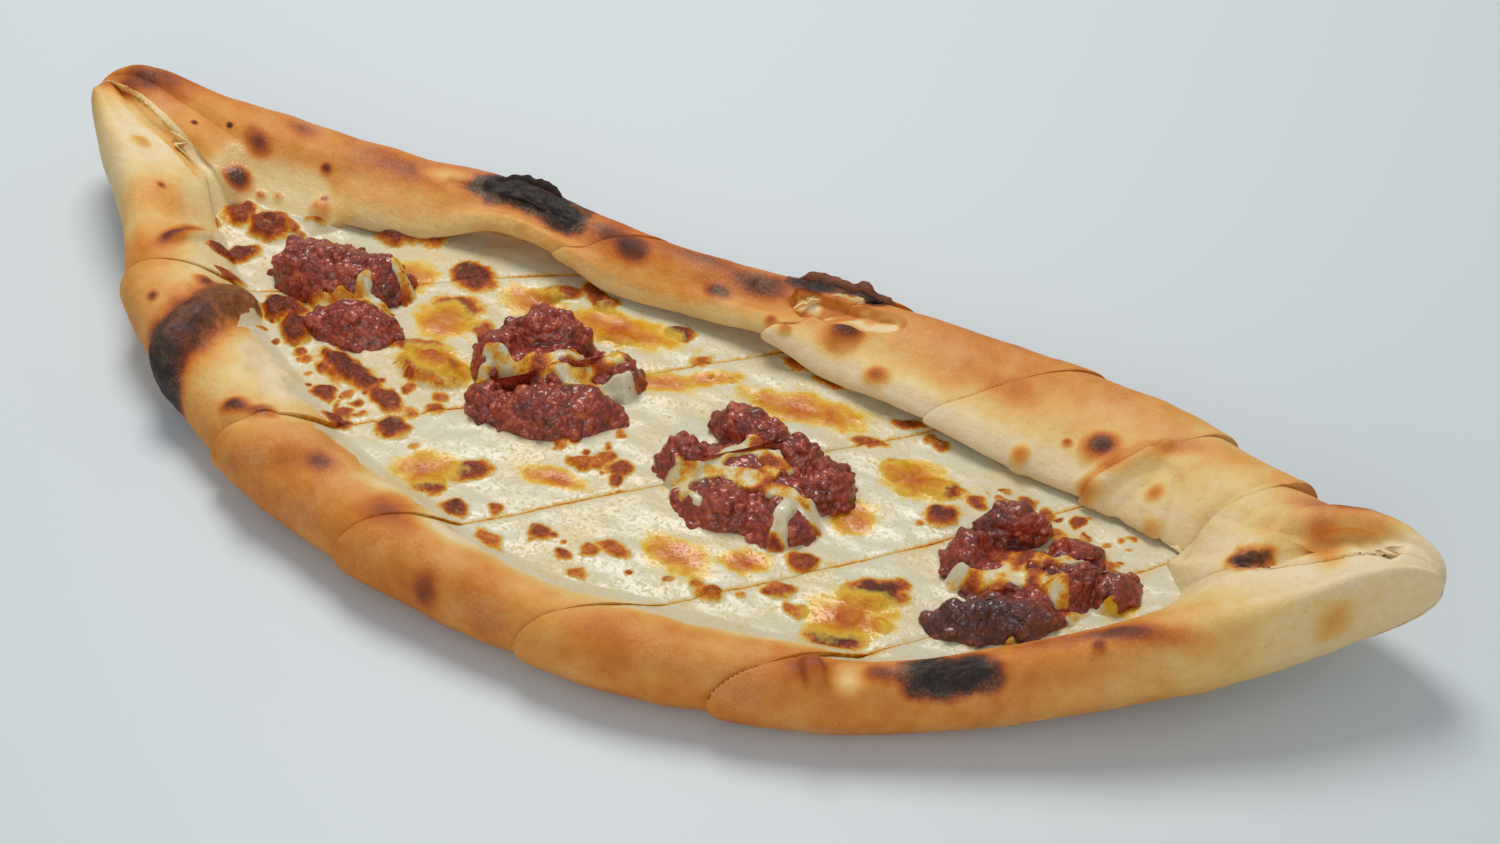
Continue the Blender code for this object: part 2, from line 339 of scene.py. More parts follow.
# %% Helpers for pieces
def places_of(piece):
    """A piece's points in millimetres."""
    flat = np.empty(len(piece.data.vertices) * 3, np.float32)
    piece.data.vertices.foreach_get("co", flat)
    return flat.reshape(-1, 3).astype(float) / MM


def place_points(piece, points):
    piece.data.vertices.foreach_set("co", (points * MM).astype(np.float32).ravel())
    piece.data.update()


def normals_of(piece):
    flat = np.empty(len(piece.data.vertices) * 3, np.float32)
    piece.data.vertex_normals.foreach_get("vector", flat)
    return flat.reshape(-1, 3).astype(float)


def paint(piece, name, values):
    """Keeps one number for each point, which a material reads by this name."""
    layer = piece.data.attributes.get(name) or piece.data.attributes.new(name, "FLOAT", "POINT")
    layer.data.foreach_set("value", np.asarray(values, np.float32))


def painted(piece, name):
    values = np.empty(len(piece.data.vertices), np.float32)
    piece.data.attributes[name].data.foreach_get("value", values)
    return values


def wrap(name, places, rings, marks=None):
    """A grid primitive wrapped into a closed tube through rings of (y, z) points at places along X.

    Its points keep the number of their place in the ring, or that place's mark."""
    around = rings.shape[1]
    bpy.ops.mesh.primitive_grid_add(x_subdivisions=len(places) - 1, y_subdivisions=around, size=1)
    piece = bpy.context.object
    piece.name = name
    flat = places_of(piece) * MM
    i = np.rint((flat[:, 0] + 0.5) * (len(places) - 1)).astype(int)
    j = np.rint((flat[:, 1] + 0.5) * around).astype(int) % around
    place_points(piece, np.column_stack([places[i], rings[i, j, 0], rings[i, j, 1]]))
    paint(piece, "round", np.arange(around)[j] if marks is None else np.array(marks)[j])
    bpy.ops.object.mode_set(mode="EDIT")
    bpy.ops.mesh.select_all(action="SELECT")
    bpy.ops.mesh.remove_doubles(threshold=1e-6)
    bpy.ops.mesh.select_all(action="DESELECT")
    bpy.ops.mesh.select_non_manifold()
    bpy.ops.mesh.fill_holes(sides=0)
    bpy.ops.mesh.select_all(action="SELECT")
    bpy.ops.mesh.normals_make_consistent(inside=False)
    bpy.ops.object.mode_set(mode="OBJECT")
    return piece


def cut_direction(number):
    """The direction of a knife cut in plan, from the near edge to the far edge."""
    turn = math.radians(CUTS[number][1])
    return np.array([math.cos(turn), math.sin(turn), 0.0])


def cut_normal(number):
    direction = cut_direction(number)
    return np.array([direction[1], -direction[0], 0.0])


def slip(number):
    """How far slice number has moved, with the middle of the loaf staying put."""
    moves = [-cut_direction(cut) * CUTS[cut][2] for cut in range(len(CUTS))]
    return sum(moves[:number], np.zeros(3)) - sum(moves, np.zeros(3)) / 2


def trim(piece, number, side, width, moved=(0, 0, 0), closed=True):
    """Cuts a piece at knife cut number and keeps what lies after it (side 1) or before it (side -1)."""
    normal = cut_normal(number) * side
    place = (np.array([CUTS[number][0], 0, 0]) + np.array(moved) + normal * width / 2) * MM
    bpy.ops.object.select_all(action="DESELECT")
    piece.select_set(True)
    bpy.context.view_layer.objects.active = piece
    bpy.ops.object.mode_set(mode="EDIT")
    bpy.ops.mesh.select_all(action="SELECT")
    bpy.ops.mesh.bisect(plane_co=place, plane_no=normal, use_fill=closed, clear_inner=True, threshold=1e-7)
    if closed:
        bpy.ops.mesh.quads_convert_to_tris(quad_method="BEAUTY", ngon_method="CLIP")
    bpy.ops.object.mode_set(mode="OBJECT")


def join(pieces, name):
    bpy.ops.object.select_all(action="DESELECT")
    for piece in pieces:
        piece.select_set(True)
    bpy.context.view_layer.objects.active = pieces[0]
    bpy.ops.object.join()
    bpy.ops.object.transform_apply(location=True, rotation=True, scale=True)
    pieces[0].name = name
    return pieces[0]


def close_ends(piece):
    """Fills the open cuts of a piece once its points are where they stay."""
    bpy.ops.object.select_all(action="DESELECT")
    piece.select_set(True)
    bpy.context.view_layer.objects.active = piece
    bpy.ops.object.mode_set(mode="EDIT")
    bpy.ops.mesh.select_all(action="DESELECT")
    bpy.ops.mesh.select_non_manifold()
    bpy.ops.mesh.remove_doubles(threshold=0.03 * MM)
    bpy.ops.mesh.select_all(action="DESELECT")
    bpy.ops.mesh.select_non_manifold()
    bpy.ops.mesh.fill_holes(sides=0)
    bpy.ops.mesh.quads_convert_to_tris(quad_method="BEAUTY", ngon_method="CLIP")
    bpy.ops.mesh.select_all(action="SELECT")
    bpy.ops.mesh.normals_make_consistent(inside=False)
    bpy.ops.object.mode_set(mode="OBJECT")


def slice_cuts(number):
    """The knife cuts that bound a slice, with the side of each that the slice lies on."""
    found = []
    if number > 0:
        found.append((number - 1, 1))
    if number < len(CUTS):
        found.append((number, -1))
    return found


def from_cut(points, number, side):
    """How far each point lies from the face of a cut, in the uncut loaf."""
    return (points - np.array([CUTS[number][0], 0, 0])) @ (cut_normal(number) * side)


def slice_span(number, widest):
    """How far along X a slice reaches, where the loaf is widest on either side of the middle line."""
    low, high = -LOAF_LENGTH, LOAF_LENGTH
    for cut, side in slice_cuts(number):
        lean = widest / math.tan(math.radians(CUTS[cut][1]))
        if side > 0:
            low = CUTS[cut][0] - lean
        else:
            high = CUTS[cut][0] + lean
    return low, high

# %% [markdown]
# ## Six slices of bread
#
# Stations along the loaf are a little under a millimetre apart, and crowd together at the two ends,
# where the outline turns in fastest. Each slice gets only the stations that it needs.

# %% Wrap and cut the bread
BREAD_STEP = 0.8
BREAD_KERF = 0.3
HALF_WIDTH = 80


def loaf_places(step):
    """Places along the loaf, closer together at its ends."""
    half = LOAF_LENGTH / 2
    found, into = [], 0.12
    while into < half:
        found.append(half - into)
        into += min(step, 0.1 + 0.35 * into)
    found = np.array(found)
    return np.concatenate([-found, found[::-1]])


def near_places(places, number, margin):
    low, high = slice_span(number, HALF_WIDTH)
    return places[(places > low - margin) & (places < high + margin)]


breads = []
all_places = loaf_places(BREAD_STEP)
for number in range(SLICES):
    places = near_places(all_places, number, 2)
    piece = wrap(f"baked_bread_{number + 1}", places, bread_rings(places), ring_choice(SECTION_POINTS))
    for cut, side in slice_cuts(number):
        trim(piece, cut, side, BREAD_KERF, closed=False)
    breads.append(piece)
    print(piece.name, len(piece.data.vertices), "points")

# %% [markdown]
# ## Relief and browning of the crust
#
# Dough swells, blisters and wrinkles in the oven, and it browns where it stands up and out to the
# heat. Both come from the same thought: for each point the code knows how far in from the edge of its
# rim it lies. Relief moves the point along its normal; browning is kept as numbers for the material.

# %% Where a point lies on the crust
def rim_share(points):
    """How far in from the near edge and from the far edge each point lies, as a share of that rim's width."""
    x = points[:, 0]
    near, far = edges_at(x)
    near_width, _, far_width, _ = rims_at(x)
    return (points[:, 1] - near) / near_width, (far - points[:, 1]) / far_width


# %% How brown the rims are along the loaf
BAKED = [  # station; near rim's side, crest and inner slope; far rim's crest, middle and lip
    (-207, 0.25, 0.20, 0.25, 0.45, 0.55, 0.30), (-190, 0.30, 0.12, 0.05, 0.55, 0.50, 0.12),
    (-175, 0.28, 0.10, 0.04, 0.50, 0.42, 0.25), (-162, 0.36, 0.28, 0.12, 0.48, 0.38, 0.28),
    (-148, 0.42, 0.36, 0.24, 0.48, 0.40, 0.18), (-133, 0.42, 0.30, 0.06, 0.48, 0.36, 0.10),
    (-120, 0.45, 0.40, 0.15, 0.50, 0.38, 0.10), (-100, 0.46, 0.28, 0.02, 0.54, 0.38, 0.12),
    (-85, 0.48, 0.32, 0.03, 0.58, 0.42, 0.14), (-70, 0.48, 0.48, 0.36, 0.58, 0.36, 0.10),
    (-50, 0.46, 0.44, 0.30, 0.58, 0.32, 0.08), (-30, 0.46, 0.42, 0.16, 0.56, 0.36, 0.06),
    (-14, 0.47, 0.34, 0.06, 0.56, 0.38, 0.05), (0, 0.48, 0.42, 0.08, 0.56, 0.40, 0.06),
    (20, 0.46, 0.38, 0.04, 0.56, 0.34, 0.05), (42, 0.48, 0.42, 0.06, 0.46, 0.24, 0.04),
    (66, 0.46, 0.40, 0.02, 0.48, 0.32, 0.02), (86, 0.45, 0.50, 0.20, 0.44, 0.34, 0.03),
    (110, 0.44, 0.46, 0.14, 0.42, 0.26, 0.04), (126, 0.44, 0.48, 0.20, 0.36, 0.20, 0.08),
    (142, 0.42, 0.50, 0.26, 0.28, 0.16, 0.08), (158, 0.34, 0.36, 0.10, 0.22, 0.16, 0.06),
    (172, 0.22, 0.12, 0.04, 0.44, 0.34, 0.08), (190, 0.10, 0.02, 0.00, 0.46, 0.34, 0.04),
    (208, 0.08, 0.02, 0.00, 0.10, 0.06, 0.02),
]
BROWNED_AND_HIGHLIGHT = [  # x, y, z, long, wide, turn, how much browner or paler
    (-92, -50, 21, 5.5, 3, 10, 0.8), (-84, -49, 21, 4.5, 3, 10, 0.8), (-146, -8, 28, 4, 5, 0, 0.3),
    (-146, -2, 27, 3, 10, -10, 0.6), (-103, -12, 15, 7, 5, 0, 0.5), (-104, -44, 20, 12, 7, 0, -0.15),
    (-195, 42, 34, 12, 7, 20, 0.28), (-183, 45, 34, 9, 6, 0, 0.12), (-152, 40, 29, 6.5, 4, -25, 0.42),
    # The row at x -96, y 56 that is 0.34 paler is a painted highlight: a pale patch on the far rim's crest where
    # light falls.
    (-143, 51, 30, 7, 4, 0, 0.30), (-112, 52, 27, 17, 7, 5, 0.22), (-96, 56, 26, 9, 3.5, 10, -0.34),
    (-86, 56.5, 26, 10, 2.2, 12, 0.30), (-178, 19, 33, 3.5, 3, 0, 0.35), (-162, 8, 30, 1.8, 1.4, 0, 0.55),
    (-158, 6, 29, 15, 9, 30, 0.20), (-147, -15, 28, 11, 7, 0, 0.16), (-137, -28, 25, 2.2, 1.8, 0, 0.6),
    (-171, 35, 31, 1.2, 1.2, 0, 0.8), (-162, 40, 31, 1.1, 1.1, 0, 0.8), (-130, -15, 24, 4, 2.6, 0, 0.45),
    (-59, -56, 22, 6, 5, 0, 0.34), (-67, -60, 21, 6, 5, 0, 0.12), (-35, -61, 22, 10, 7, 40, 0.36),
    (-29, -66, 20, 8, 6, 0, 0.14), (-44, -53, 20, 8, 4, 10, -0.16), (-18, -60, 20, 11, 6, -15, -0.30),
    (-14, -76, 15, 4.5, 5, 0, 0.28), (2, -77, 12, 8, 5, 0, 0.10), (36, -71, 20, 14, 7, 0, 0.10),
    (86, -56, 21, 9, 4.5, 20, 0.28), (93.5, -53, 21, 5, 5, 0, -0.45), (101, -49, 21, 7, 3, 20, 0.38),
    (133, -24, 24, 10, 4, 25, 0.14), (151, -15, 29, 19, 3.6, 22, 0.42), (145, -22, 27, 2.2, 2.2, 0, 0.5),
    (182, 30, 35, 10, 5.5, -60, 0.40), (183, 26, 27, 9, 5, -30, 0.26), (191, 14, 27, 7, 6, 0, 0.26),
    (-151, 28, 24, 5.5, 5, 0, 0.8), (-144, 29, 18, 2.2, 2, 0, 0.55), (-139, 31, 17, 2.2, 2, 0, 0.55),
    (-145, 22, 18, 5, 4, 0, 0.7), (-136, 21, 16, 7, 6, 0, 0.75), (-126, 33, 17, 4, 3.4, 0, 0.6),
    (-130, 43, 26, 2.2, 2, 0, 0.5), (-126, 36, 21, 1.4, 1.2, 0, 0.6), (-116, 30, 16, 10, 7, 0, 0.14),
    (16, 49, 22, 2.2, 2, 0, 0.6), (21, 48, 22, 2.2, 2, 0, 0.5), (51, 45, 21, 4.5, 3, 0, 0.65),
    (-3, 53, 22, 5, 3, 0, 0.55), (97, 38, 18, 3, 3, 0, 0.6), (107, 45, 22, 1.6, 1.5, 0, 0.6),
    (116, 46, 24, 6, 5, 0, 0.85), (122, 41, 22, 5, 3, 30, 0.35), (135, 37, 24, 3, 3, 0, 0.45),
    (138, 29, 18, 4, 3, 0, 0.4), (-32, 55, 25, 6, 5, 0, 0.45), (-40, 57, 26, 9, 3.5, 0, 0.22), (-16, 60, 26, 17, 3.6, 5, 0.24),
    (7, 60, 25, 11, 5, 5, 0.36), (36, 52, 23, 7, 6, 0, 0.42), (86, 54, 25, 12, 5, -10, 0.22),
    (132, 49, 28, 10, 4, 30, 0.34), (124, 43, 24, 9, 4, 40, 0.42), (118, 35, 19, 6, 4, 40, 0.5),
    (145, 53, 30, 14, 5, 0, 0.12), (176, 42, 36, 12, 4, 10, 0.24), (188, 43, 36, 10, 4, -10, 0.28),
]
BURNT = [  # path in space, half width, depth of the burn at its start and at its end
    ([(-120, -52, 5), (-122, -45, 13), (-123, -38, 21), (-121, -27, 24), (-121, -14, 21), (-117, -6, 17),
      (-109, -5, 15), (-101, -11, 14)], 7.5, 1.0, 0.5),
    ([(-81, 59, 27), (-73, 61, 27), (-64, 60, 27), (-55, 58, 26)], 4.4, 0.9, 1.0),
    ([(16, 66, 25), (27, 69, 24), (38, 70, 25)], 3.0, 0.7, 0.9),
    ([(110, -44, 21), (116, -42, 22), (121, -39, 23)], 4.6, 0.9, 0.8),
    ([(165, 19, 30), (169, 23, 32)], 2.8, 1.0, 0.8),
]


def crust_browning(points, inside):
    """How brown each point is, from pale dough at 0 to dark brown at 1, and how burnt."""
    near, far = rim_share(points)
    side, crest, slope, far_crest, middle, lip = along(BAKED, points[:, 0]) / 1.0
    at_near = side + (crest - side) * smooth_step(0.12, 0.42, near)
    at_near += (slope - at_near) * smooth_step(0.42, 0.92, near)
    at_far = far_crest + (middle - far_crest) * smooth_step(0.35, 0.68, far)
    at_far += (lip - at_far) * smooth_step(0.62, 0.98, far)
    brown = np.where(near < far, at_near, at_far)
    brown = brown * (1 - inside) + 0.07 * inside
    blotch = noise(points, 30, 11) + 0.8 * noise(points, 13, 12)
    brown += (0.10 * blotch + 0.05 * noise(points, 5, 13)) * smooth_step(0.0, 0.3, brown)
    # Besides the browned patches, one paler patch here is a painted highlight.
    for x, y, z, long, wide, turn, more in BROWNED_AND_HIGHLIGHT:
        brown += more * patch(points, x, y, z, long * 1.25, wide * 1.25, turn)
    burnt = np.zeros(len(points))
    ragged = 1.4 * noise(points, 5, 14) + 0.8 * noise(points, 2, 15)
    for path, half_width, start, end in BURNT:
        away, _, share = beside(points, path)
        depth = start + (end - start) * share
        brown += 0.6 * depth * smooth_step(half_width * 1.9, half_width * 0.8, away + ragged)
        burnt = np.maximum(burnt, depth * smooth_step(half_width * 1.1, half_width * 0.6, away + ragged))
    for path, half_width, depth in TEARS:
        away, _, _ = beside(points, path)
        opened = smooth_step(half_width, half_width * 0.7, away + 1.1 * noise(points, 4, 7))
        brown += (0.04 - brown) * opened
    brown += 0.5 * patch(points, 37, 55, 24, 7, 5)
    return np.clip(brown, 0, 1.1), burnt


# %% Folds, creases and blisters of the crust
TEARS = [  # path in space, half width, depth
    ([(21, 59, 25), (31, 59, 26), (40, 60, 26), (46, 62, 26)], 4.6, 3.0),
]
RIDGES = [  # slice or None for all, path in space, half width, rise
    (1, [(-121, -50, 7), (-123, -39, 20), (-121, -27, 24), (-121, -14, 20), (-116, -6, 16), (-108, -6, 14),
         (-101, -12, 14)], 8.5, 4.2),
    (2, [(-84, -73, 15), (-81, -63, 21), (-73, -54, 22), (-62, -47, 20)], 8.5, 2.6),
    (None, [(116, 33, 18), (124, 43, 24), (132, 50, 28)], 5.5, 3.2),
    (None, [(-147, -10, 29), (-145, -3, 26), (-143, 6, 20)], 2.6, 1.8),
    (5, [(84, -58, 20), (88, -54, 21)], 6.5, 2.6),
]
KNOBS = [  # x, y, z, size, rise
    (-92, -50, 21, 5, 1.6), (-84, -49, 21, 4.5, 1.6), (-103, -12, 15, 5, 1.5), (-108, -7, 16, 4, 1.5),
    (145, -22, 27, 2.4, 1.4), (132, 50.5, 28, 2.8, 2.4), (4, 60, 25, 2.0, 1.0), (-66, 49, 25, 1.8, 0.7),
    (-130, -15, 24, 3.5, 1.2), (36, 54, 24, 6.5, 2.6), (93.5, -53, 21, 6, -2.2), (-178, 19, 33, 3, 0.8),
    (-151, 28, 24, 5.5, 1.8), (-144, 29, 18, 2.2, 0.8), (-139, 31, 17, 2.2, 0.8), (-145, 22, 18, 5, 1.4),
    (-136, 21, 16, 7.5, 3.0), (-126, 33, 17, 4, 1.6), (-130, 43, 26, 2.4, 0.6), (-152, 40, 29, 4, 0.5),
    (16, 49, 22, 2.2, 0.8), (21, 48, 22, 2.2, 0.8), (51, 45, 21, 4.5, 1.0), (-3, 53, 22, 4, 0.8),
    (97, 38, 18, 3.5, 1.2), (107, 45, 22, 1.8, 0.8), (116, 46, 24, 6.5, 2.2), (-96, -34, 20, 5, -1.4), (-87, -42, 22, 4.5, -1.2), (-101, -28, 18, 5, -1.0), (-92, -27, 15, 4, 0.8),
]
CREASES = [  # path in plan, half width, depth, how much the left side stands above the right
    ([(-207, 43), (-204, 40), (-192, 33), (-182, 29), (-172, 28), (-163, 27), (-156, 23)], 2.6, 2.6, 1.8),
    ([(163, 17), (170, 23), (176, 30), (184, 36), (191, 37), (197, 36.5), (200, 36)], 3.2, 3.6, 2.6),
    ([(-96, 54), (-88, 56), (-80, 57)], 1.6, 0.9, 0.6),
    ([(149, 20), (151, 32), (158, 43), (167, 49)], 0.9, 0.8, -1.8),
    ([(159, 29), (166, 38), (176, 43)], 0.9, 0.5, -0.8),
    ([(166, 28), (171, 37), (180, 44), (192, 47)], 0.9, 0.6, -1.2),
    ([(139, 22), (141, 32), (138, 45)], 1.2, 1.0, 0.3),
    ([(126, 30), (131, 38), (136, 46)], 2.0, 0.8, 0.3),
]


def crust_relief(points, number):
    """How far each point stands off the plain loaf."""
    rise = 0.8 * noise(points, 34, 1) + 0.45 * noise(points, 14, 2)
    rise += 0.13 * noise(points, 5.5, 3) + 0.05 * noise(points, 2.2, 4)
    for own_slice, path, half_width, height in RIDGES:
        if own_slice in (None, number):
            away, _, share = beside(points, path)
            taper = smooth_step(-0.05, 0.2, share) * smooth_step(1.05, 0.8, share)
            rise += height * np.clip(1 - (away / half_width) ** 2, 0, 1) ** 1.3 * taper
    for x, y, z, size, height in KNOBS:
        rise += height * patch(points, x, y, z, size, size) ** 0.7
    for path, half_width, depth, step in CREASES:
        away, side, share = beside(points, path)
        ends = smooth_step(0, 0.15, share) * smooth_step(1, 0.85, share)
        ends = ends * smooth_step(207, 198, np.abs(points[:, 0]))
        rise -= depth * ends * np.exp(-(away / half_width) ** 2)
        rise += 0.5 * step * ends * side * smooth_step(0, 1.1, away) * np.exp(-away / 7)
    for path, half_width, depth in TEARS:
        away, _, _ = beside(points, path)
        rise -= depth * smooth_step(half_width, half_width * 0.75, away + 1.1 * noise(points, 4, 7))
    for path, half_width, start, end in BURNT:
        away, _, _ = beside(points, path)
        rough = noise(points, 4, 5) + 0.8 * np.abs(noise(points, 2.0, 6)) + 0.3 * noise(points, 1.3, 8)
        rise += (0.9 if half_width < 7 else 0.5) * rough * smooth_step(half_width * 1.2, half_width * 0.5, away)
    return rise * smooth_step(0, 9, LOAF_LENGTH / 2 - np.abs(points[:, 0]))


# %% Raise and stain the bread
INSIDE = (144, 156, 240, 224)  # ring points between the near toe and the far lip: the dough inside the boat
COATED = (108, 124, 330, 300)  # ring points that cheese can wet


for number, piece in enumerate(breads):
    flat = places_of(piece)
    normals = normals_of(piece)
    for cut, side in slice_cuts(number):
        on_face = np.abs(from_cut(flat, cut, side) - BREAD_KERF / 2) < 0.02
        normal = cut_normal(cut)
        normals[on_face] -= np.outer(normals[on_face] @ normal, normal)
    normals /= np.maximum(np.linalg.norm(normals, axis=1), 1e-6)[:, None]
    moved = flat + slip(number)
    rise = crust_relief(moved, number)
    for cut, side in slice_cuts(number):
        into = np.clip(from_cut(flat, cut, side), 0, None)
        rise -= 0.4 * np.clip(1 - into / 1.3, 0, 1) ** 2
    under = smooth_step(2.5, 0.5, flat[:, 2] - lift_at(flat[:, 0])) * (normals[:, 2] < 0)
    rise *= 1 - under
    raised = moved + normals * rise[:, None]
    raised[:, 2] = np.maximum(raised[:, 2], 0)
    place_points(piece, raised)
    close_ends(piece)
    raised = places_of(piece)
    span = painted(piece, "round")
    inside = smooth_step(*INSIDE[:2], span) * smooth_step(*INSIDE[2:], span)
    brown, burnt = crust_browning(raised, inside)
    climb = raised[:, 2] - CHEESE_TOP - lift_at(raised[:, 0])
    facing = smooth_step(*COATED[:2], span) * smooth_step(*COATED[2:], span)
    creep = climb + 3.0 * noise(raised, 16, 16) + 1.2 * noise(raised, 6, 17)
    reach = 3 + 10 * smooth_step(-120, -133, raised[:, 0]) * smooth_step(-172, -152, raised[:, 0])
    paint(piece, "coat", facing * smooth_step(reach + 2.5, reach - 2.5, creep))
    paint(piece, "brown", brown)
    paint(piece, "burnt", burnt)
print("Bread raised and stained")

# %% [markdown]
# ## Height maps
#
# Melted cheese lies on whatever is under it. To drape it, the code first needs to know how high the
# bread and the mince stand at each place in plan: the highest upward-facing point in each small cell.

# %% Height of a surface in plan
CELL = 1.0
PLAN_LOW, PLAN_SIZE = np.array([-225.0, -95.0]), (450, 190)


def height_map(pieces):
    """The highest point of some pieces in each cell of the plan, or a very low value where there is none."""
    heights = np.full(PLAN_SIZE, -99.0)
    for piece in pieces:
        points, normals = places_of(piece), normals_of(piece)
        up = normals[:, 2] > 0.05
        cell = np.floor((points[up, :2] - PLAN_LOW) / CELL).astype(int)
        np.maximum.at(heights, (cell[:, 0], cell[:, 1]), points[up, 2])
    for _ in range(2):
        around = np.stack([np.roll(heights, step, axis) for axis in (0, 1) for step in (-1, 1)])
        known = around > -90
        mean = np.where(known, around, 0).sum(axis=0) / np.maximum(known.sum(axis=0), 1)
        heights = np.where((heights < -90) & (known.sum(axis=0) >= 2), mean, heights)
    return heights


def blurred(heights, times):
    """A height map with its steps smoothed out."""
    for _ in range(times):
        for axis in (0, 1):
            around = [np.roll(heights, step, axis) for step in (-1, 1)]
            known = (heights > -90) & (around[0] > -90) & (around[1] > -90)
            heights = np.where(known, 0.5 * heights + 0.25 * (around[0] + around[1]), heights)
    return heights


def softened(heights, times):
    """A height map with its small pits filled, as a thick liquid would fill them."""
    for _ in range(times):
        around = sum(np.roll(heights, step, axis) for axis in (0, 1) for step in (-1, 1)) / 4
        heights = np.where(heights > -90, np.maximum(heights, (heights + around) / 2), heights)
        heights = np.where((heights > -90) & (around > 0), 0.5 * heights + 0.5 * around, heights)
    return heights


def read_map(heights, points):
    """A height map's value at each point, blended between cells."""
    at = (points[:, :2] - PLAN_LOW) / CELL - 0.5
    low = np.clip(np.floor(at).astype(int), 0, np.array(PLAN_SIZE) - 2)
    part = np.clip(at - low, 0, 1)
    found = 0
    for i in (0, 1):
        for j in (0, 1):
            weight = np.where(i, part[:, 0], 1 - part[:, 0]) * np.where(j, part[:, 1], 1 - part[:, 1])
            found = found + weight * heights[low[:, 0] + i, low[:, 1] + j]
    return found

# %% Flakes of burnt and torn crust
FLAKES = [  # slice, path in plan, height, lean from upright in degrees, how burnt
    (0, [(-82, 60), (-75, 64), (-67, 65), (-60, 63)], 2.6, 35, 1.0),
    (0, [(-78, 56), (-70, 57.5), (-62, 57)], 1.6, -20, 1.0),
    (0, [(-58, 61), (-53, 60), (-49, 59)], 1.8, 30, 0.6),
    (1, [(12, 65), (22, 68), (33, 69), (45, 70)], 3.6, 50, 0.75),
    (1, [(20, 62), (28, 64), (36, 64.5), (44, 66)], 2.4, 25, 0.0),
    (1, [(19, 57), (22, 61), (24, 63)], 2.0, -10, 0.0),
]


def crust_flake(number, path, tall, lean, burnt):
    """A thin ragged sheet of crust that stands up from the rim, joined to its slice."""
    path = smooth_path([(x, y, 0) for x, y in path], 10)
    bpy.ops.mesh.primitive_grid_add(x_subdivisions=len(path) - 1, y_subdivisions=6, size=1)
    flake = bpy.context.object
    grid = places_of(flake) * MM
    i = np.rint((grid[:, 0] + 0.5) * (len(path) - 1)).astype(int)
    up = grid[:, 1] + 0.5
    base = path[i]
    ragged = 1 + 0.5 * noise(base * [1, 1, 0] + [0, 0, 9], 2.5, 18) + 0.3 * noise(base, 7, 19)
    tall_here = tall * ragged * np.sin(math.pi * np.clip(i / (len(path) - 1), 0.03, 0.97)) ** 0.4
    angle = np.radians(lean * (0.5 + 0.8 * up))
    points = base + np.column_stack([0 * up, up * tall_here * np.sin(angle), up * tall_here * np.cos(angle)])
    points[:, :2] += 0.35 * np.column_stack([noise(points, 2, 20), noise(points, 2, 24)])
    points[:, 2] += np.maximum(read_map(rim_heights[number], base), 23) - 0.7
    place_points(flake, points)
    modifier = flake.modifiers.new("thickness", "SOLIDIFY")
    modifier.thickness = 0.5 * MM
    bpy.context.view_layer.objects.active = flake
    bpy.ops.object.modifier_apply(modifier=modifier.name)
    count = len(flake.data.vertices)
    paint(flake, "brown", np.full(count, 0.12 + 0.75 * burnt))
    paint(flake, "burnt", np.full(count, burnt))
    paint(flake, "coat", np.zeros(count))
    breads[number] = join([breads[number], flake], breads[number].name)


rim_heights = [blurred(height_map([piece]), 2) for piece in breads]
for row in FLAKES:
    crust_flake(*row)

# %% [markdown]
# ## Mince
#
# Each heap is raw mince pressed on by hand: a few big lumps and many crumbs stuck to them. Balls of
# every size are joined and voxel remeshed into one skin, which is then grained all over.

# %% Heaps of mince
MINCE_LUMPS = [
    [  # x, y, half length, half width, height of the top, turn
        (-105, 13, 21, 12, 25, 12), (-114, 12, 12, 11, 24, 0), (-95, 17, 12, 9, 23, 0), (-88, -1, 14, 8.5, 20.5, 20),
        (-98, -4, 7, 6, 18, 0),
    ],
    [
        (-38, 18, 15, 9, 26, 20), (-46, 7, 9, 10, 23, 0), (-30, 8, 15, 10, 22, 0), (-15, 16, 11, 7, 21, 10),
        (-21, -4, 20, 9.5, 22, 30), (-39, -9, 8, 8, 19, 0),
    ],
    [
        (38, 0, 24, 15, 18.5, 0), (30, 14, 14, 7, 23, 0), (45, 12, 8, 6, 21, 0), (56, 7, 8, 9, 21.5, 50),
        (36, -13, 15, 9, 20, 10), (51, -11, 12, 8, 19, 10), (19, -3, 8, 9, 21, 60),
    ],
    [
        (117, 0, 20, 14, 20, 10), (105, 15, 11, 7, 23, 30), (100, 2, 8, 9, 21.5, 0), (116, -15, 20, 7.5, 21, 30),
        (128, 3, 10, 7, 22.5, 60), (138, 7, 8, 7, 21, 30), (124, 14, 9, 5, 20, 20),
    ],
]
SEARED = [  # x, y, long, wide, turn, how dark: mince that the oven has browned
    (112, -19, 26, 9, 22, 1.0), (100, 14, 14, 10, 30, 0.5), (-110, 16, 16, 8, 12, 0.35), (-44, 20, 10, 8, 0, 0.3),
    (136, 6, 9, 9, 0, 0.4),
]
MINCE_VOXEL = 0.45
MINCE_CUTS = [0, 1, 2, 4]


def lump(x, y, half_length, half_width, top, turn):
    """One ball of mince, sunk in the cheese."""
    base = CHEESE_TOP - 4 + lift_at(np.array([x]))[0]
    bpy.ops.mesh.primitive_ico_sphere_add(subdivisions=4, radius=MM, location=(x * MM, y * MM, base * MM),
                                          rotation=(0, 0, math.radians(turn)),
                                          scale=(half_length, half_width, top - base))
    return bpy.context.object


def remesh(piece, size):
    modifier = piece.modifiers.new("one skin", "REMESH")
    modifier.mode = "VOXEL"
    modifier.voxel_size = size * MM
    bpy.context.view_layer.objects.active = piece
    bpy.ops.object.modifier_apply(modifier=modifier.name)


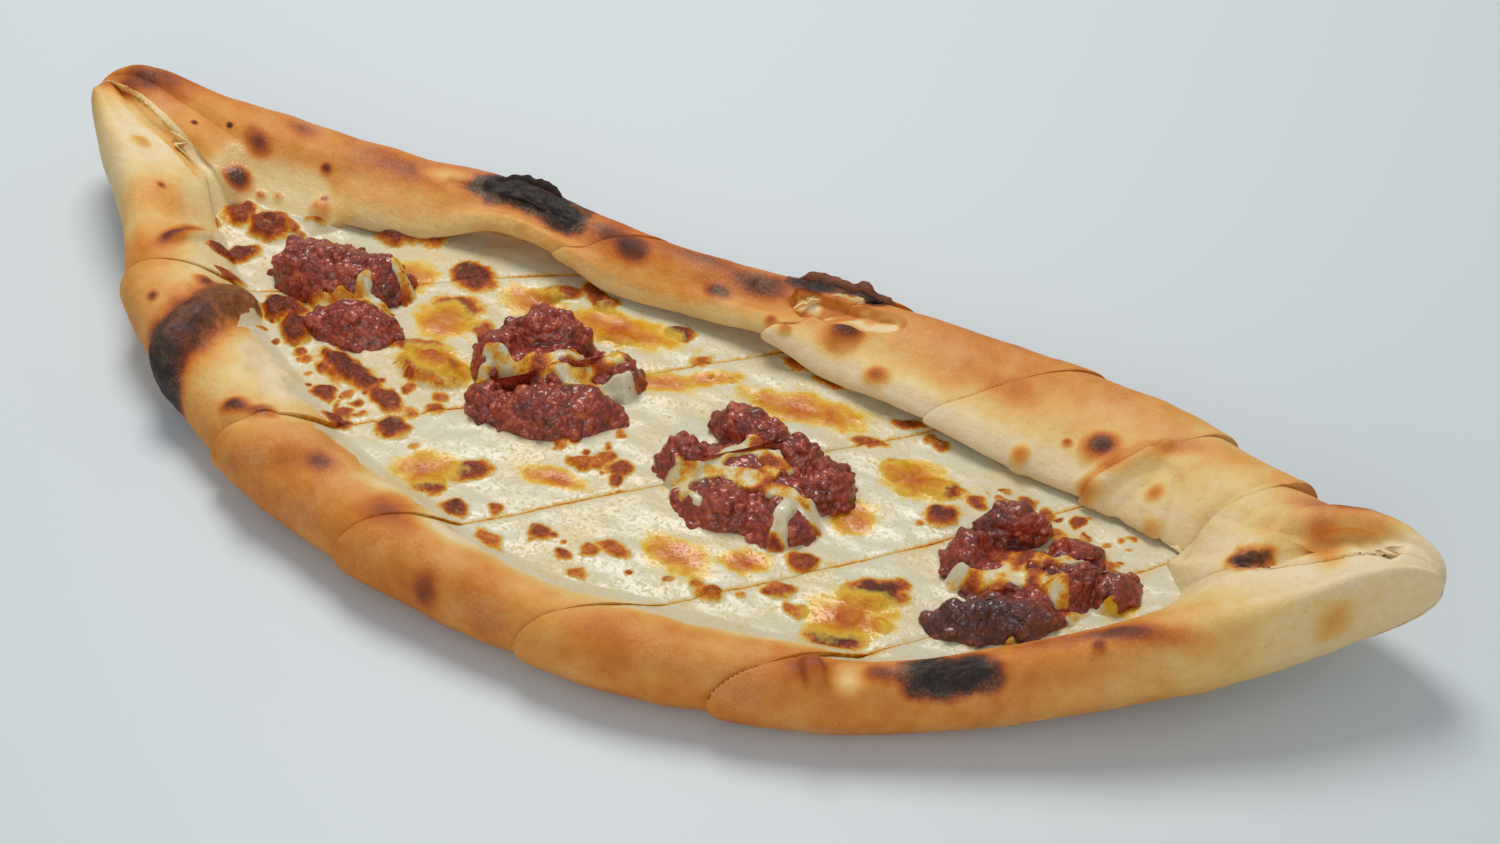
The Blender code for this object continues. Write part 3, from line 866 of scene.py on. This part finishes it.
def crumbs(name, places, sizes, seed):
    """Small squashed balls at places, in one mesh: one ball is modelled, and its points are copied."""
    bpy.ops.mesh.primitive_ico_sphere_add(subdivisions=2, radius=1)
    pattern = bpy.context.object
    ball = np.array([point.co for point in pattern.data.vertices])
    faces = np.array([face.vertices for face in pattern.data.polygons])
    bpy.data.objects.remove(pattern)
    squash = np.random.default_rng(seed).uniform(0.6, 1, (len(places), 3))
    points = (ball[None] * squash[:, None] * np.array(sizes)[:, None, None] + np.array(places)[:, None]) * MM
    steps = np.arange(len(places)) * len(ball)
    mesh = bpy.data.meshes.new(name)
    mesh.from_pydata(points.reshape(-1, 3), [], (faces[None] + steps[:, None, None]).reshape(-1, 3))
    made = bpy.data.objects.new(name, mesh)
    bpy.context.scene.collection.objects.link(made)
    return made


chance = np.random.default_rng(7)
CRUMBS_PER_LUMP = 40
minces = []
for number, lumps in enumerate(MINCE_LUMPS):
    balls = [lump(*values) for values in lumps]
    places, sizes = [], []
    for x, y, half_length, half_width, top, turn in lumps:
        base = CHEESE_TOP - 4 + lift_at(np.array([x]))[0]
        c, s = math.cos(math.radians(turn)), math.sin(math.radians(turn))
        for _ in range(CRUMBS_PER_LUMP):
            round_at, up_at = chance.uniform(0, 2 * math.pi), chance.uniform(0.25, 1.5)
            size = chance.uniform(1.0, 2.8)
            a = half_length * math.cos(round_at) * math.cos(up_at)
            b = half_width * math.sin(round_at) * math.cos(up_at)
            places.append((x + a * c - b * s, y + a * s + b * c, base + (top - base) * math.sin(up_at) - 0.3 * size))
            sizes.append(size)
    balls.append(crumbs("crumbs", places, sizes, number))
    heap = join(balls, f"mince_{number + 1}")
    remesh(heap, MINCE_VOXEL)
    points, normals = places_of(heap), normals_of(heap)
    nearest, second, own = pebbles(points, 1.9, 21)
    fine, _, _ = pebbles(points, 1.0, 22)
    rise = 0.7 * (0.55 - nearest) * (0.4 + 1.2 * own) + 0.3 * (0.5 - fine) + 1.0 * noise(points, 8, 23)
    points += normals * rise[:, None]
    # Painted shade: the gaps between the grains get a darker colour, standing in for the shade that falls among
    # them.
    paint(heap, "crevice_shade", smooth_step(0.5, 0.95, nearest) * 0.7 + smooth_step(0.55, 0.95, fine) * 0.4)
    paint(heap, "own", own)
    seared = 0.35 * np.clip(noise(points, 9, 25), 0, 1)
    for x, y, long, wide, turn, dark in SEARED:
        seared = np.maximum(seared, dark * mound(points, x, y, long, wide, turn) ** 0.4)
    paint(heap, "seared", seared)
    lowest = CHEESE_TOP - 6 + lift_at(points[:, 0])
    points[:, 2] = np.maximum(points[:, 2], lowest)
    place_points(heap, points)
    minces.append(heap)
    print(heap.name, len(heap.data.vertices), "points")

# %% [markdown]
# ## Melted cheese
#
# The cheese fills the boat, creeps up the crust, blisters where air lifts it, and hangs over the mince
# in veils. One fine sheet per slice does all of that: its height is the level of the cheese, or the
# bread plus a thin film, or the mince plus a veil, whichever is higher.

# %% Blisters, pools and veils
BLISTERS = [  # x, y, long, wide, turn, rise, how brown
    (-103, 39, 7, 5.5, 0, 2.5, 0.95), (-94, 43, 6.5, 5, 0, 2.2, 0.9), (-73, 34, 9, 6.5, -10, 1.2, 1.0),
    (-80, -16, 15, 5, -12, 1.8, 1.0), (-81, -27, 4.5, 4, 0, 1.2, 0.9), (-65, -21, 8, 4, -20, 1.0, 0.9),
    (-57, -29, 6, 5, 0, 1.0, 1.0), (-71, -35, 5, 3, 0, 0.9, 0.9), (-56, -22, 3, 2.5, 0, 0.6, 0.6),
    (-61, -5, 12, 7.5, 0, 4.0, 0.7), (-36, -43, 6, 4.5, 20, 1.0, 0.8), (-30, -33, 8, 4.5, 40, 1.0, 0.9),
    (-25, -47, 4.5, 4, 0, 1.2, 1.0), (-16, -41, 3, 2.5, 0, 0.8, 0.7), (-1, -43, 4, 3.5, 0, 1.0, 0.8),
    (-11, -52, 6, 3, -20, 0.6, 0.6), (-2, -14, 4, 3, 0, 0.8, 0.6), (5, -13, 4.5, 3.5, 20, 0.9, 0.8),
    (19, -39, 6, 3.5, 0, 0.9, 0.7), (15, -51, 3.5, 2.5, 0, 0.6, 0.6), (84, -20, 10, 6, 25, 1.1, 1.0),
    (82, -38, 9, 5, 20, 1.0, 0.95), (63, -19, 5, 4, 0, 1.0, 0.8), (87, 13, 5.5, 5, 0, 1.4, 1.0),
    (69, 23, 6, 4.5, 0, 0.9, 0.75), (82, 22, 8, 4.5, 10, 1.0, 0.8), (72, 38, 3, 2, 0, 0.5, 0.5),
    (25, 47, 5, 3, 0, 0.8, 0.7), (-37, 44, 9, 3.5, -25, 1.0, 0.85), (-48, 40, 9, 3.5, 30, 0.9, 0.8),
    (-48, 38, 3.5, 3, 0, 0.8, 0.8), (-33, 44, 4, 3, 0, 0.8, 0.7), (-9, 42, 5, 3.5, 20, 1.0, 1.0),
    (-21, 32, 4, 3, 0, 0.5, 0.6), (-59, 17, 5, 4, 0, 0.6, 0.7), (-70, 21, 9, 6, 20, 0.8, 0.8),
    (-70, 2, 11, 3, 20, 0.8, 0.7), (89, -14, 3, 2.5, 0, 0.5, 0.7), (91, -29, 3.5, 2.5, 0, 0.5, 0.7),
    (74, 17, 3.5, 2.5, 0, 0.5, 0.7), (93, 22, 4, 3, 0, 0.7, 0.8), (75, 37, 3.5, 2.5, 0, 0.5, 0.8),
    (63, 40, 6, 2, 20, 0.5, 0.8), (57, 29, 6, 2.2, 20, 0.4, 0.7), (38, 45, 7, 3, 10, 0.5, 0.7),
    (82, -30, 4, 4, 0, 0.7, 0.8), (-137, 6, 9, 3.5, 60, 1.6, 0.95), (-131, -5, 6, 3, 40, 1.0, 0.8),
    (-115, -2, 5, 3, 20, 0.6, 0.7), (118, 4, 7, 4.5, 0, 0.5, 0.8), (112, -8, 4, 3, 0, 0.3, 0.7),
    (-136, 21, 7.5, 6.5, 0, 3.0, 0.95), (-146, 21, 6.5, 5.5, 0, 2.0, 0.85), (-126, 32, 4.5, 4, 0, 1.5, 0.85),
    (-111, -5, 8, 5.5, 10, 3.2, 1.0), (-103, -10, 7, 5.5, -40, 3.0, 0.95), (-151, 14, 4, 3, 0, 1.0, 0.7),
    (-96, 7, 6, 4, 20, 1.6, 0.85), (44, -2, 6, 3.5, 20, 0.4, 0.8), (30, -6, 5, 3, 0, 0.4, 0.7),
    (-33, 4, 7, 3.5, 20, 0.4, 0.8), (-20, 8, 5, 3, 30, 0.4, 0.7),
]
SMALL_SPOTS = 230  # little browned spots scattered between the named ones
POOLS = [  # x, y, long, wide, turn: oil lying on the cheese
    (-26, 35, 26, 9, 8), (-52, 34, 14, 8, 0), (36, 32, 24, 8, 8), (34, -33, 15, 8, -10), (50, -26, 9, 6, 10),
    (67, 2, 8, 9, 0), (-70, 14, 12, 10, 0), (-4, 22, 16, 5, 25), (8, 30, 12, 4, 35), (-8, -24, 13, 5, 5),
    (-60, -2, 15, 8, 0), (140, 4, 7, 6, 0), (82, -30, 15, 11, 20), (74, 22, 13, 10, 0), (-88, 26, 10, 8, 0),
    (-40, -38, 12, 9, 30),
]
VEILS = [  # path over the mince, half width
    ([(-108, -1), (-100, 2), (-94, 6), (-84, 8)], 2.8), ([(-97, -1), (-94, 6), (-92, 14)], 2.6),
    ([(-88, 20), (-80, 14), (-78, 8)], 3), ([(-46, 2), (-38, 2), (-30, 4), (-20, 6), (-8, 12)], 3.2),
    ([(-31, 4), (-25, 14)], 2.6), ([(-20, 8), (-12, 20)], 2.4), ([(-46, -8), (-44, 2)], 2.4),
    ([(16, -20), (22, -10), (30, -4), (41, -5), (52, -4), (63, -6)], 3.6), ([(28, -4), (34, 6), (46, 4)], 3),
    ([(52, -4), (54, -16)], 2.6), ([(20, -8), (30, -18)], 2), ([(41, -6), (44, 4)], 2.6),
    ([(102, -8), (110, -5), (118, -2), (126, -2)], 4.5), ([(110, 2), (118, 5), (126, 8)], 3.5),
    ([(122, -20), (124, -32)], 1.6), ([(112, -8), (116, 4)], 3), ([(132, -6), (140, 0)], 2),
]
FILM = 0.35


def cheese_level(points):
    """The height of the cheese where it lies in the boat."""
    stretch = points * np.array([1, 1.6, 1])
    level = CHEESE_TOP + 0.5 + lift_at(points[:, 0])
    level = level + 0.8 * noise(points, 26, 31) + 0.35 * noise(stretch, 11, 32) + 0.12 * noise(stretch, 5, 33)
    return level + 0.02 * noise(points, 2.2, 34)


def scattered_spots(count, seed):
    """Small round spots in the boat, as rows like those of the blisters, in uneven crowds."""
    chance = np.random.default_rng(seed)
    x, share = chance.uniform(-140, 135, count * 3), chance.uniform(0.08, 0.92, count * 3)
    near, far = edges_at(x)
    near_width, _, far_width, _ = rims_at(x)
    y = near + near_width + (far - far_width - near - near_width) * share
    crowd = noise(np.column_stack([x, y, 0 * x]), 38, seed)
    kept_ones = np.argsort(-crowd - 0.35 * chance.uniform(0, 1, len(x)))[:count]
    rows = []
    for i in kept_ones:
        size = 0.9 + 2.6 * chance.uniform(0, 1) ** 2.5
        rows.append((x[i], y[i], size * chance.uniform(1, 1.6), size, chance.uniform(0, 180),
                     0.25 * size, chance.uniform(0.4, 0.85)))
    return rows


def blister_rise(points):
    """How far blisters lift the cheese, and how brown each point is."""
    rise, brown = np.zeros(len(points)), np.zeros(len(points))
    drift = np.column_stack([noise(points, 4, 40), noise(points, 4, 41), 0 * points[:, 0]])
    moved = points + 1.3 * drift
    wobble = 1 + 0.35 * noise(points, 3.5, 35)
    for x, y, long, wide, turn, height, colour in BLISTERS + scattered_spots(SMALL_SPOTS, 5):
        close = np.hypot(points[:, 0] - x, points[:, 1] - y) < 1.5 * long + 5
        dome = mound(moved[close], x, y, long, wide, turn)
        rise[close] += height * np.clip(dome * 1.6, 0, 1) ** 0.8 * wobble[close]
        wider = mound(moved[close], x, y, long * 1.3, wide * 1.3, turn) * wobble[close]
        brown[close] = np.maximum(brown[close], colour * smooth_step(0.02, 0.8, wider))
    return rise, brown


def soft_higher(first, second, blend):
    """The higher of two heights, rounded where they meet."""
    h = np.clip(0.5 + 0.5 * (first - second) / blend, 0, 1)
    return second * (1 - h) + first * h + blend * h * (1 - h)


CHEESE_STEP = 0.55
CHEESE_KERF = 0.12
CHEESE_ACROSS = 190
CHEESE_ENDS = (-161, 166)
UNDER_ROWS = 12
CLIMB = 13


def cheese_rings(x):
    """Flat sheets of cheese with a thin body, from up the near rim to over or under the far lip."""
    near, far = edges_at(x)
    near_width, _, far_width, _ = rims_at(x)
    start = near + near_width - np.minimum(CLIMB, 0.5 * near_width)
    end = far - far_width + np.minimum(CLIMB, 0.5 * far_width)
    across = np.linspace(0, 1, CHEESE_ACROSS)
    back = np.linspace(1, 0, UNDER_ROWS)
    share = np.concatenate([across, back])
    depth = np.concatenate([0 * across, 0 * back - 3])
    y = start[:, None] + (end - start)[:, None] * share
    z = (CHEESE_TOP + lift_at(x))[:, None] + depth
    return np.stack([y, z], axis=2)


cheeses = []
mince_heights = softened(height_map(minces), 2)
places = np.arange(CHEESE_ENDS[0], CHEESE_ENDS[1] + CHEESE_STEP, CHEESE_STEP)
for number in range(SLICES):
    near_by = near_places(places, number, 2)
    piece = wrap(f"melted_cheese_{number + 1}", near_by, cheese_rings(near_by))
    for cut, side in slice_cuts(number):
        trim(piece, cut, side, CHEESE_KERF, closed=False)
    flat = places_of(piece)
    top = flat[:, 2] > CHEESE_TOP + lift_at(flat[:, 0]) - 1
    moved = flat + slip(number)
    bread_heights = read_map(rim_heights[number], moved)
    level = cheese_level(moved)
    blisters, brown = blister_rise(moved)
    height = level + blisters
    for cut, side in slice_cuts(number):
        height -= 0.4 * np.exp(-np.clip(from_cut(flat, cut, side), 0, None) / 0.7)
    climb = np.clip(bread_heights - level, 0, None)
    film = FILM + 0.4 * noise(moved, 16, 36) + 0.12 * noise(moved, 6, 37) - 0.16 * climb
    film -= 14 * smooth_step(144, 158, np.abs(moved[:, 0]))
    over = soft_higher(height, bread_heights + film + 0.9 * blisters, 2.2)
    far_toe = edges_at(flat[:, 0])[1] - rims_at(flat[:, 0])[2]
    beyond = smooth_step(-4, -1.5, flat[:, 1] - far_toe) * smooth_step(160, 145, np.abs(flat[:, 0]))
    height = over * (1 - beyond) + height * beyond
    mask = np.zeros(len(moved))
    for path, half_width in VEILS:
        away, _, _ = beside(moved, path)
        mask = np.maximum(mask, smooth_step(half_width * 1.25, half_width * 0.6, away + 2.2 * noise(moved, 5, 38)))
    veil = read_map(mince_heights, moved) + 0.5 + 0.3 * noise(moved, 4, 39) - 7 * (1 - mask)
    veiled = smooth_step(-1.0, 0.5, veil - height) * top
    brown = np.maximum(brown * (1 - 0.5 * veiled), veiled * np.clip(0.16 + 1.1 * noise(moved, 5, 42), 0.02, 0.85))
    height = soft_higher(height, veil, 0.8)
    for cut, side in slice_cuts(number):
        line = np.exp(-np.clip(from_cut(flat, cut, side), 0, None) / 0.55)
        brown = np.maximum(brown, line * np.clip(0.42 + 0.5 * noise(moved, 12, 43), 0, 0.8))
    moved[:, 2] = np.where(top, height, CHEESE_TOP - 2.5 + lift_at(moved[:, 0]))
    place_points(piece, moved)
    pool = np.zeros(len(moved))
    for x, y, long, wide, turn in POOLS:
        pool = np.maximum(pool, mound(moved, x, y, long * 1.2, wide * 1.2, turn))
    paint(piece, "brown", 0.93 * brown)
    paint(piece, "oil", pool)
    close_ends(piece)
    cheeses.append(piece)
    print(piece.name, len(moved), "points")

# %% [markdown]
# ## Cutting the heaps
#
# The knife went through bread, cheese and mince alike, so each heap is copied, and each copy keeps the
# half that belongs to its slice.

# %% Halve the heaps
MINCE_KERF = 0.1
halves = []
for number, heap in enumerate(minces):
    cut = MINCE_CUTS[number]
    for letter, side, home in (("a", -1, cut), ("b", 1, cut + 1)):
        bpy.ops.object.select_all(action="DESELECT")
        heap.select_set(True)
        bpy.context.view_layer.objects.active = heap
        bpy.ops.object.duplicate()
        half = bpy.context.object
        half.name = f"mince_{number + 1}{letter}"
        trim(half, cut, side, MINCE_KERF, (slip(cut) + slip(cut + 1)) / 2)
        halves.append((half, f"meat_{number + 1}{letter}"))
for heap in minces:
    bpy.data.objects.remove(heap)

# %% [markdown]
# ## Materials
#
# Dough, cheese and mince each have one material, which reads the numbers kept on the points and adds
# finer noise of its own in Object coordinates.

# %% Small helpers for node trees
def srgb(red, green, blue):
    """A colour in the shader's linear values from the usual 0 to 255 steps."""
    return tuple((v / 255 / 12.92 if v < 10.3 else ((v / 255 + 0.055) / 1.055) ** 2.4) for v in (red, green, blue)) + (1,)


def add(tree, kind, inputs=None, **settings):
    """A node with its settings, its inputs given as values or as sockets to link."""
    made = tree.nodes.new("ShaderNode" + kind)
    for name, value in settings.items():
        setattr(made, name, value)
    for key, value in (inputs or {}).items():
        if isinstance(value, bpy.types.NodeSocket):
            tree.links.new(value, made.inputs[key])
        else:
            made.inputs[key].default_value = value
    return made


def ramp(tree, factor, stops):
    """A colour ramp through (place, colour) stops."""
    made = add(tree, "ValToRGB", {"Fac": factor})
    bar = made.color_ramp.elements
    while len(bar) < len(stops):
        bar.new(0.5)
    for element, (place, colour) in zip(bar, stops):
        element.position = place
        element.color = colour
    return made.outputs["Color"]


def sums(tree, operation, first, second, third=None, clamp=False):
    made = add(tree, "Math", {0: first, 1: second}, operation=operation, use_clamp=clamp)
    if third is not None:
        tree.links.new(third, made.inputs[2]) if isinstance(third, bpy.types.NodeSocket) else setattr(
            made.inputs[2], "default_value", third)
    return made.outputs[0]


def mixed(tree, factor, first, second):
    made = add(tree, "Mix", data_type="RGBA")
    for socket, value in (("Factor", factor), ("A", first), ("B", second)):
        at = [s for s in made.inputs if s.name == socket and s.enabled][0]
        if isinstance(value, bpy.types.NodeSocket):
            tree.links.new(value, at)
        else:
            at.default_value = value
    return [s for s in made.outputs if s.enabled][0]


def kept(tree, name):
    """A number kept on a piece's points."""
    return add(tree, "Attribute", attribute_name=name).outputs["Fac"]


def grain(tree, size, detail=2, rough=0.5):
    """Noise with bumps about size millimetres across, from 0 to 1."""
    where = add(tree, "TexCoord").outputs["Object"]
    return add(tree, "TexNoise", {"Vector": where, "Scale": 1 / (size * MM), "Detail": detail, "Roughness": rough}).outputs["Fac"]


def new_material(name):
    material = bpy.data.materials.new(name)
    material.use_nodes = True
    return material, material.node_tree, material.node_tree.nodes["Principled BSDF"]


# %% Baked dough
dough, tree, shader = new_material("baked dough")
shade = sums(tree, "MULTIPLY_ADD", grain(tree, 3.0, 3), 0.16, kept(tree, "brown"))
shade = sums(tree, "MULTIPLY_ADD", grain(tree, 0.7, 2), 0.07, shade)
shade = sums(tree, "SUBTRACT", shade, 0.115, clamp=True)
crust_colour = ramp(tree, shade, [
    (0.0, srgb(232, 214, 176)), (0.16, srgb(226, 190, 120)), (0.33, srgb(220, 158, 74)), (0.5, srgb(206, 124, 38)),
    (0.66, srgb(178, 90, 22)), (0.82, srgb(116, 50, 14)), (1.0, srgb(58, 28, 18)),
])
wet = sums(tree, "MULTIPLY_ADD", grain(tree, 6, 3), 0.4, kept(tree, "coat"))
wet = sums(tree, "SUBTRACT", wet, 0.2, clamp=True)
dust = sums(tree, "MULTIPLY_ADD", grain(tree, 0.6, 4, 0.7), 0.9, sums(tree, "MULTIPLY", grain(tree, 16, 3), 0.9))
dust = sums(tree, "MULTIPLY_ADD", dust, 2.2, -1.95, clamp=True)
crust_colour = mixed(tree, sums(tree, "MULTIPLY", dust, 0.3), crust_colour, srgb(236, 214, 176))
bare = sums(tree, "MULTIPLY_ADD", shade, -2.6, 1.5, clamp=True)
crust_colour = mixed(tree, sums(tree, "MULTIPLY", wet, bare),
                     crust_colour, srgb(226, 204, 150))
wet_rough = sums(tree, "MULTIPLY_ADD", wet, -0.3, 0.62)
tree.links.new(wet_rough, shader.inputs["Roughness"])
char = sums(tree, "MULTIPLY_ADD", grain(tree, 2.0, 3), 0.8, kept(tree, "burnt"))
char = sums(tree, "SUBTRACT", char, 0.5, clamp=True)
tree.links.new(mixed(tree, char, crust_colour, srgb(24, 18, 17)), shader.inputs["Base Color"])
shader.inputs["Specular IOR Level"].default_value = 0.35
shader.inputs["Subsurface Weight"].default_value = 0.05
shader.inputs["Subsurface Radius"].default_value = (0.0025, 0.0012, 0.0006)
shader.inputs["Subsurface Scale"].default_value = 1.0
height = sums(tree, "MULTIPLY_ADD", grain(tree, 0.9, 3), 0.5, grain(tree, 3, 2))
bump = add(tree, "Bump", {"Strength": 0.5, "Distance": 0.0007, "Height": height})
tree.links.new(bump.outputs["Normal"], shader.inputs["Normal"])

# %% Melted cheese
cheese, tree, shader = new_material("melted cheese")
stain = sums(tree, "MULTIPLY_ADD", grain(tree, 1.3, 5, 0.75), 1.0, kept(tree, "brown"))
stain = sums(tree, "SUBTRACT", stain, 0.54, clamp=True)
stain = sums(tree, "MULTIPLY_ADD", grain(tree, 14, 3), 0.3, stain)
stain = sums(tree, "SUBTRACT", stain, 0.12, clamp=True)
cheese_colour = ramp(tree, stain, [
    (0.0, srgb(212, 206, 180)), (0.12, srgb(216, 196, 140)), (0.26, srgb(222, 170, 54)), (0.42, srgb(208, 120, 10)),
    (0.62, srgb(176, 78, 2)), (0.82, srgb(128, 46, 4)), (1.0, srgb(80, 28, 10)),
])
oil = sums(tree, "MULTIPLY_ADD", grain(tree, 5, 4, 0.6), 1.3, kept(tree, "oil"))
oil = sums(tree, "SUBTRACT", oil, 0.8, clamp=True)
oily = ramp(tree, oil, [
    (0.0, srgb(222, 200, 104)), (0.22, srgb(222, 184, 48)), (0.55, srgb(212, 142, 8)), (1.0, srgb(188, 84, 0)),
])
cheese_colour = mixed(tree, sums(tree, "MULTIPLY", oil, 3.2, clamp=True), cheese_colour, oily)
tree.links.new(cheese_colour, shader.inputs["Base Color"])
tree.links.new(sums(tree, "MULTIPLY_ADD", stain, 0.22, 0.2), shader.inputs["Roughness"])
shader.inputs["Specular IOR Level"].default_value = 0.35
shader.inputs["Subsurface Weight"].default_value = 0.05
shader.inputs["Subsurface Radius"].default_value = (0.003, 0.002, 0.001)
shader.inputs["Subsurface Scale"].default_value = 1.0
rough_spots = sums(tree, "MULTIPLY", grain(tree, 0.9, 3, 0.6), sums(tree, "MULTIPLY_ADD", stain, 2.4, 0.2))
bump = add(tree, "Bump", {"Strength": 0.5, "Distance": 0.0006, "Height": rough_spots})
tree.links.new(bump.outputs["Normal"], shader.inputs["Normal"])

# %% Mince
mince, tree, shader = new_material("cooked mince")
tone = sums(tree, "MULTIPLY_ADD", grain(tree, 1.1, 3), 0.45, sums(tree, "MULTIPLY", grain(tree, 7, 2), 0.4))
tone = sums(tree, "MULTIPLY_ADD", kept(tree, "own"), 0.18, tone)
# Painted shade: the mince is made darker in the crevices between its grains.
tone = sums(tree, "MULTIPLY_ADD", kept(tree, "crevice_shade"), -0.28, tone, clamp=True)
mince_colour = ramp(tree, tone, [
    (0.12, srgb(46, 8, 4)), (0.34, srgb(112, 26, 10)), (0.54, srgb(158, 50, 24)), (0.72, srgb(208, 108, 66)),
])
dark_part = sums(tree, "MULTIPLY_ADD", grain(tree, 1.6, 3), 0.9, kept(tree, "seared"))
dark_part = sums(tree, "SUBTRACT", dark_part, 0.55, clamp=True)
mince_colour = mixed(tree, dark_part, mince_colour, srgb(48, 18, 10))
tree.links.new(mince_colour, shader.inputs["Base Color"])
shader.inputs["Roughness"].default_value = 0.4
shader.inputs["Coat Weight"].default_value = 0.65
shader.inputs["Coat Roughness"].default_value = 0.09
bump = add(tree, "Bump", {"Strength": 0.8, "Distance": 0.0008, "Height": grain(tree, 0.8, 3)})
tree.links.new(bump.outputs["Normal"], shader.inputs["Normal"])

# %% Dress every piece and hand it over
def dress(piece, material, node):
    piece.data.materials.clear()
    piece.data.materials.append(material)
    bpy.ops.object.select_all(action="DESELECT")
    piece.select_set(True)
    bpy.context.view_layer.objects.active = piece
    bpy.ops.object.shade_smooth_by_angle(angle=math.radians(60))
    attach(piece, "root")
    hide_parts(node)


for number in range(SLICES):
    dress(breads[number], dough, f"bread_{number + 1}")
    dress(cheeses[number], cheese, f"cheese_{number + 1}")
for half, node in halves:
    dress(half, mince, node)

# %% [markdown]
# ## Floor, light and camera
#
# A pale floor, one large soft light overhead and a little light from all round.

# %% Floor
bpy.ops.mesh.primitive_plane_add(size=6, location=(0, 0, 0))
floor = bpy.context.object
floor.name = "floor"
paper, tree, shader = new_material("pale floor")
shader.inputs["Base Color"].default_value = srgb(206, 214, 218)
shader.inputs["Roughness"].default_value = 0.5
floor.data.materials.append(paper)

# %% Light
world = bpy.data.worlds.new("studio")
bpy.context.scene.world = world
world.use_nodes = True
world.node_tree.nodes["Background"].inputs["Color"].default_value = (0.9, 0.95, 1.0, 1)
world.node_tree.nodes["Background"].inputs["Strength"].default_value = 0.4


def soft_light(name, place, size, power, colour):
    bpy.ops.object.light_add(type="AREA", location=place)
    light = bpy.context.object
    light.name = name
    light.data.shape = "DISK"
    light.data.size = size
    light.data.energy = power
    light.data.color = colour
    light.rotation_euler = (Vector((0, 0, 0)) - Vector(place)).to_track_quat("-Z", "Y").to_euler()
    return light


soft_light("overhead light", (-0.35, 0.45, 0.95), 0.5, 7.5, (1.0, 0.97, 0.93))
soft_light("fill light", (0.5, -0.95, 0.6), 0.8, 3.4, (1.0, 0.97, 0.93))

# %% Camera
CAMERA_TARGET = Vector((0.02418, 0.02275, 0.01))
CAMERA_PLACE = Vector((0.27684, -0.42729, 0.49129))
bpy.ops.object.camera_add(location=CAMERA_PLACE)
camera = bpy.context.object
camera.name = "camera"
camera.data.lens = 62.4
camera.data.sensor_width = 36
camera.rotation_euler = (CAMERA_TARGET - CAMERA_PLACE).to_track_quat("-Z", "Y").to_euler()
bpy.context.scene.camera = camera
bpy.context.scene.view_settings.view_transform = "Standard"
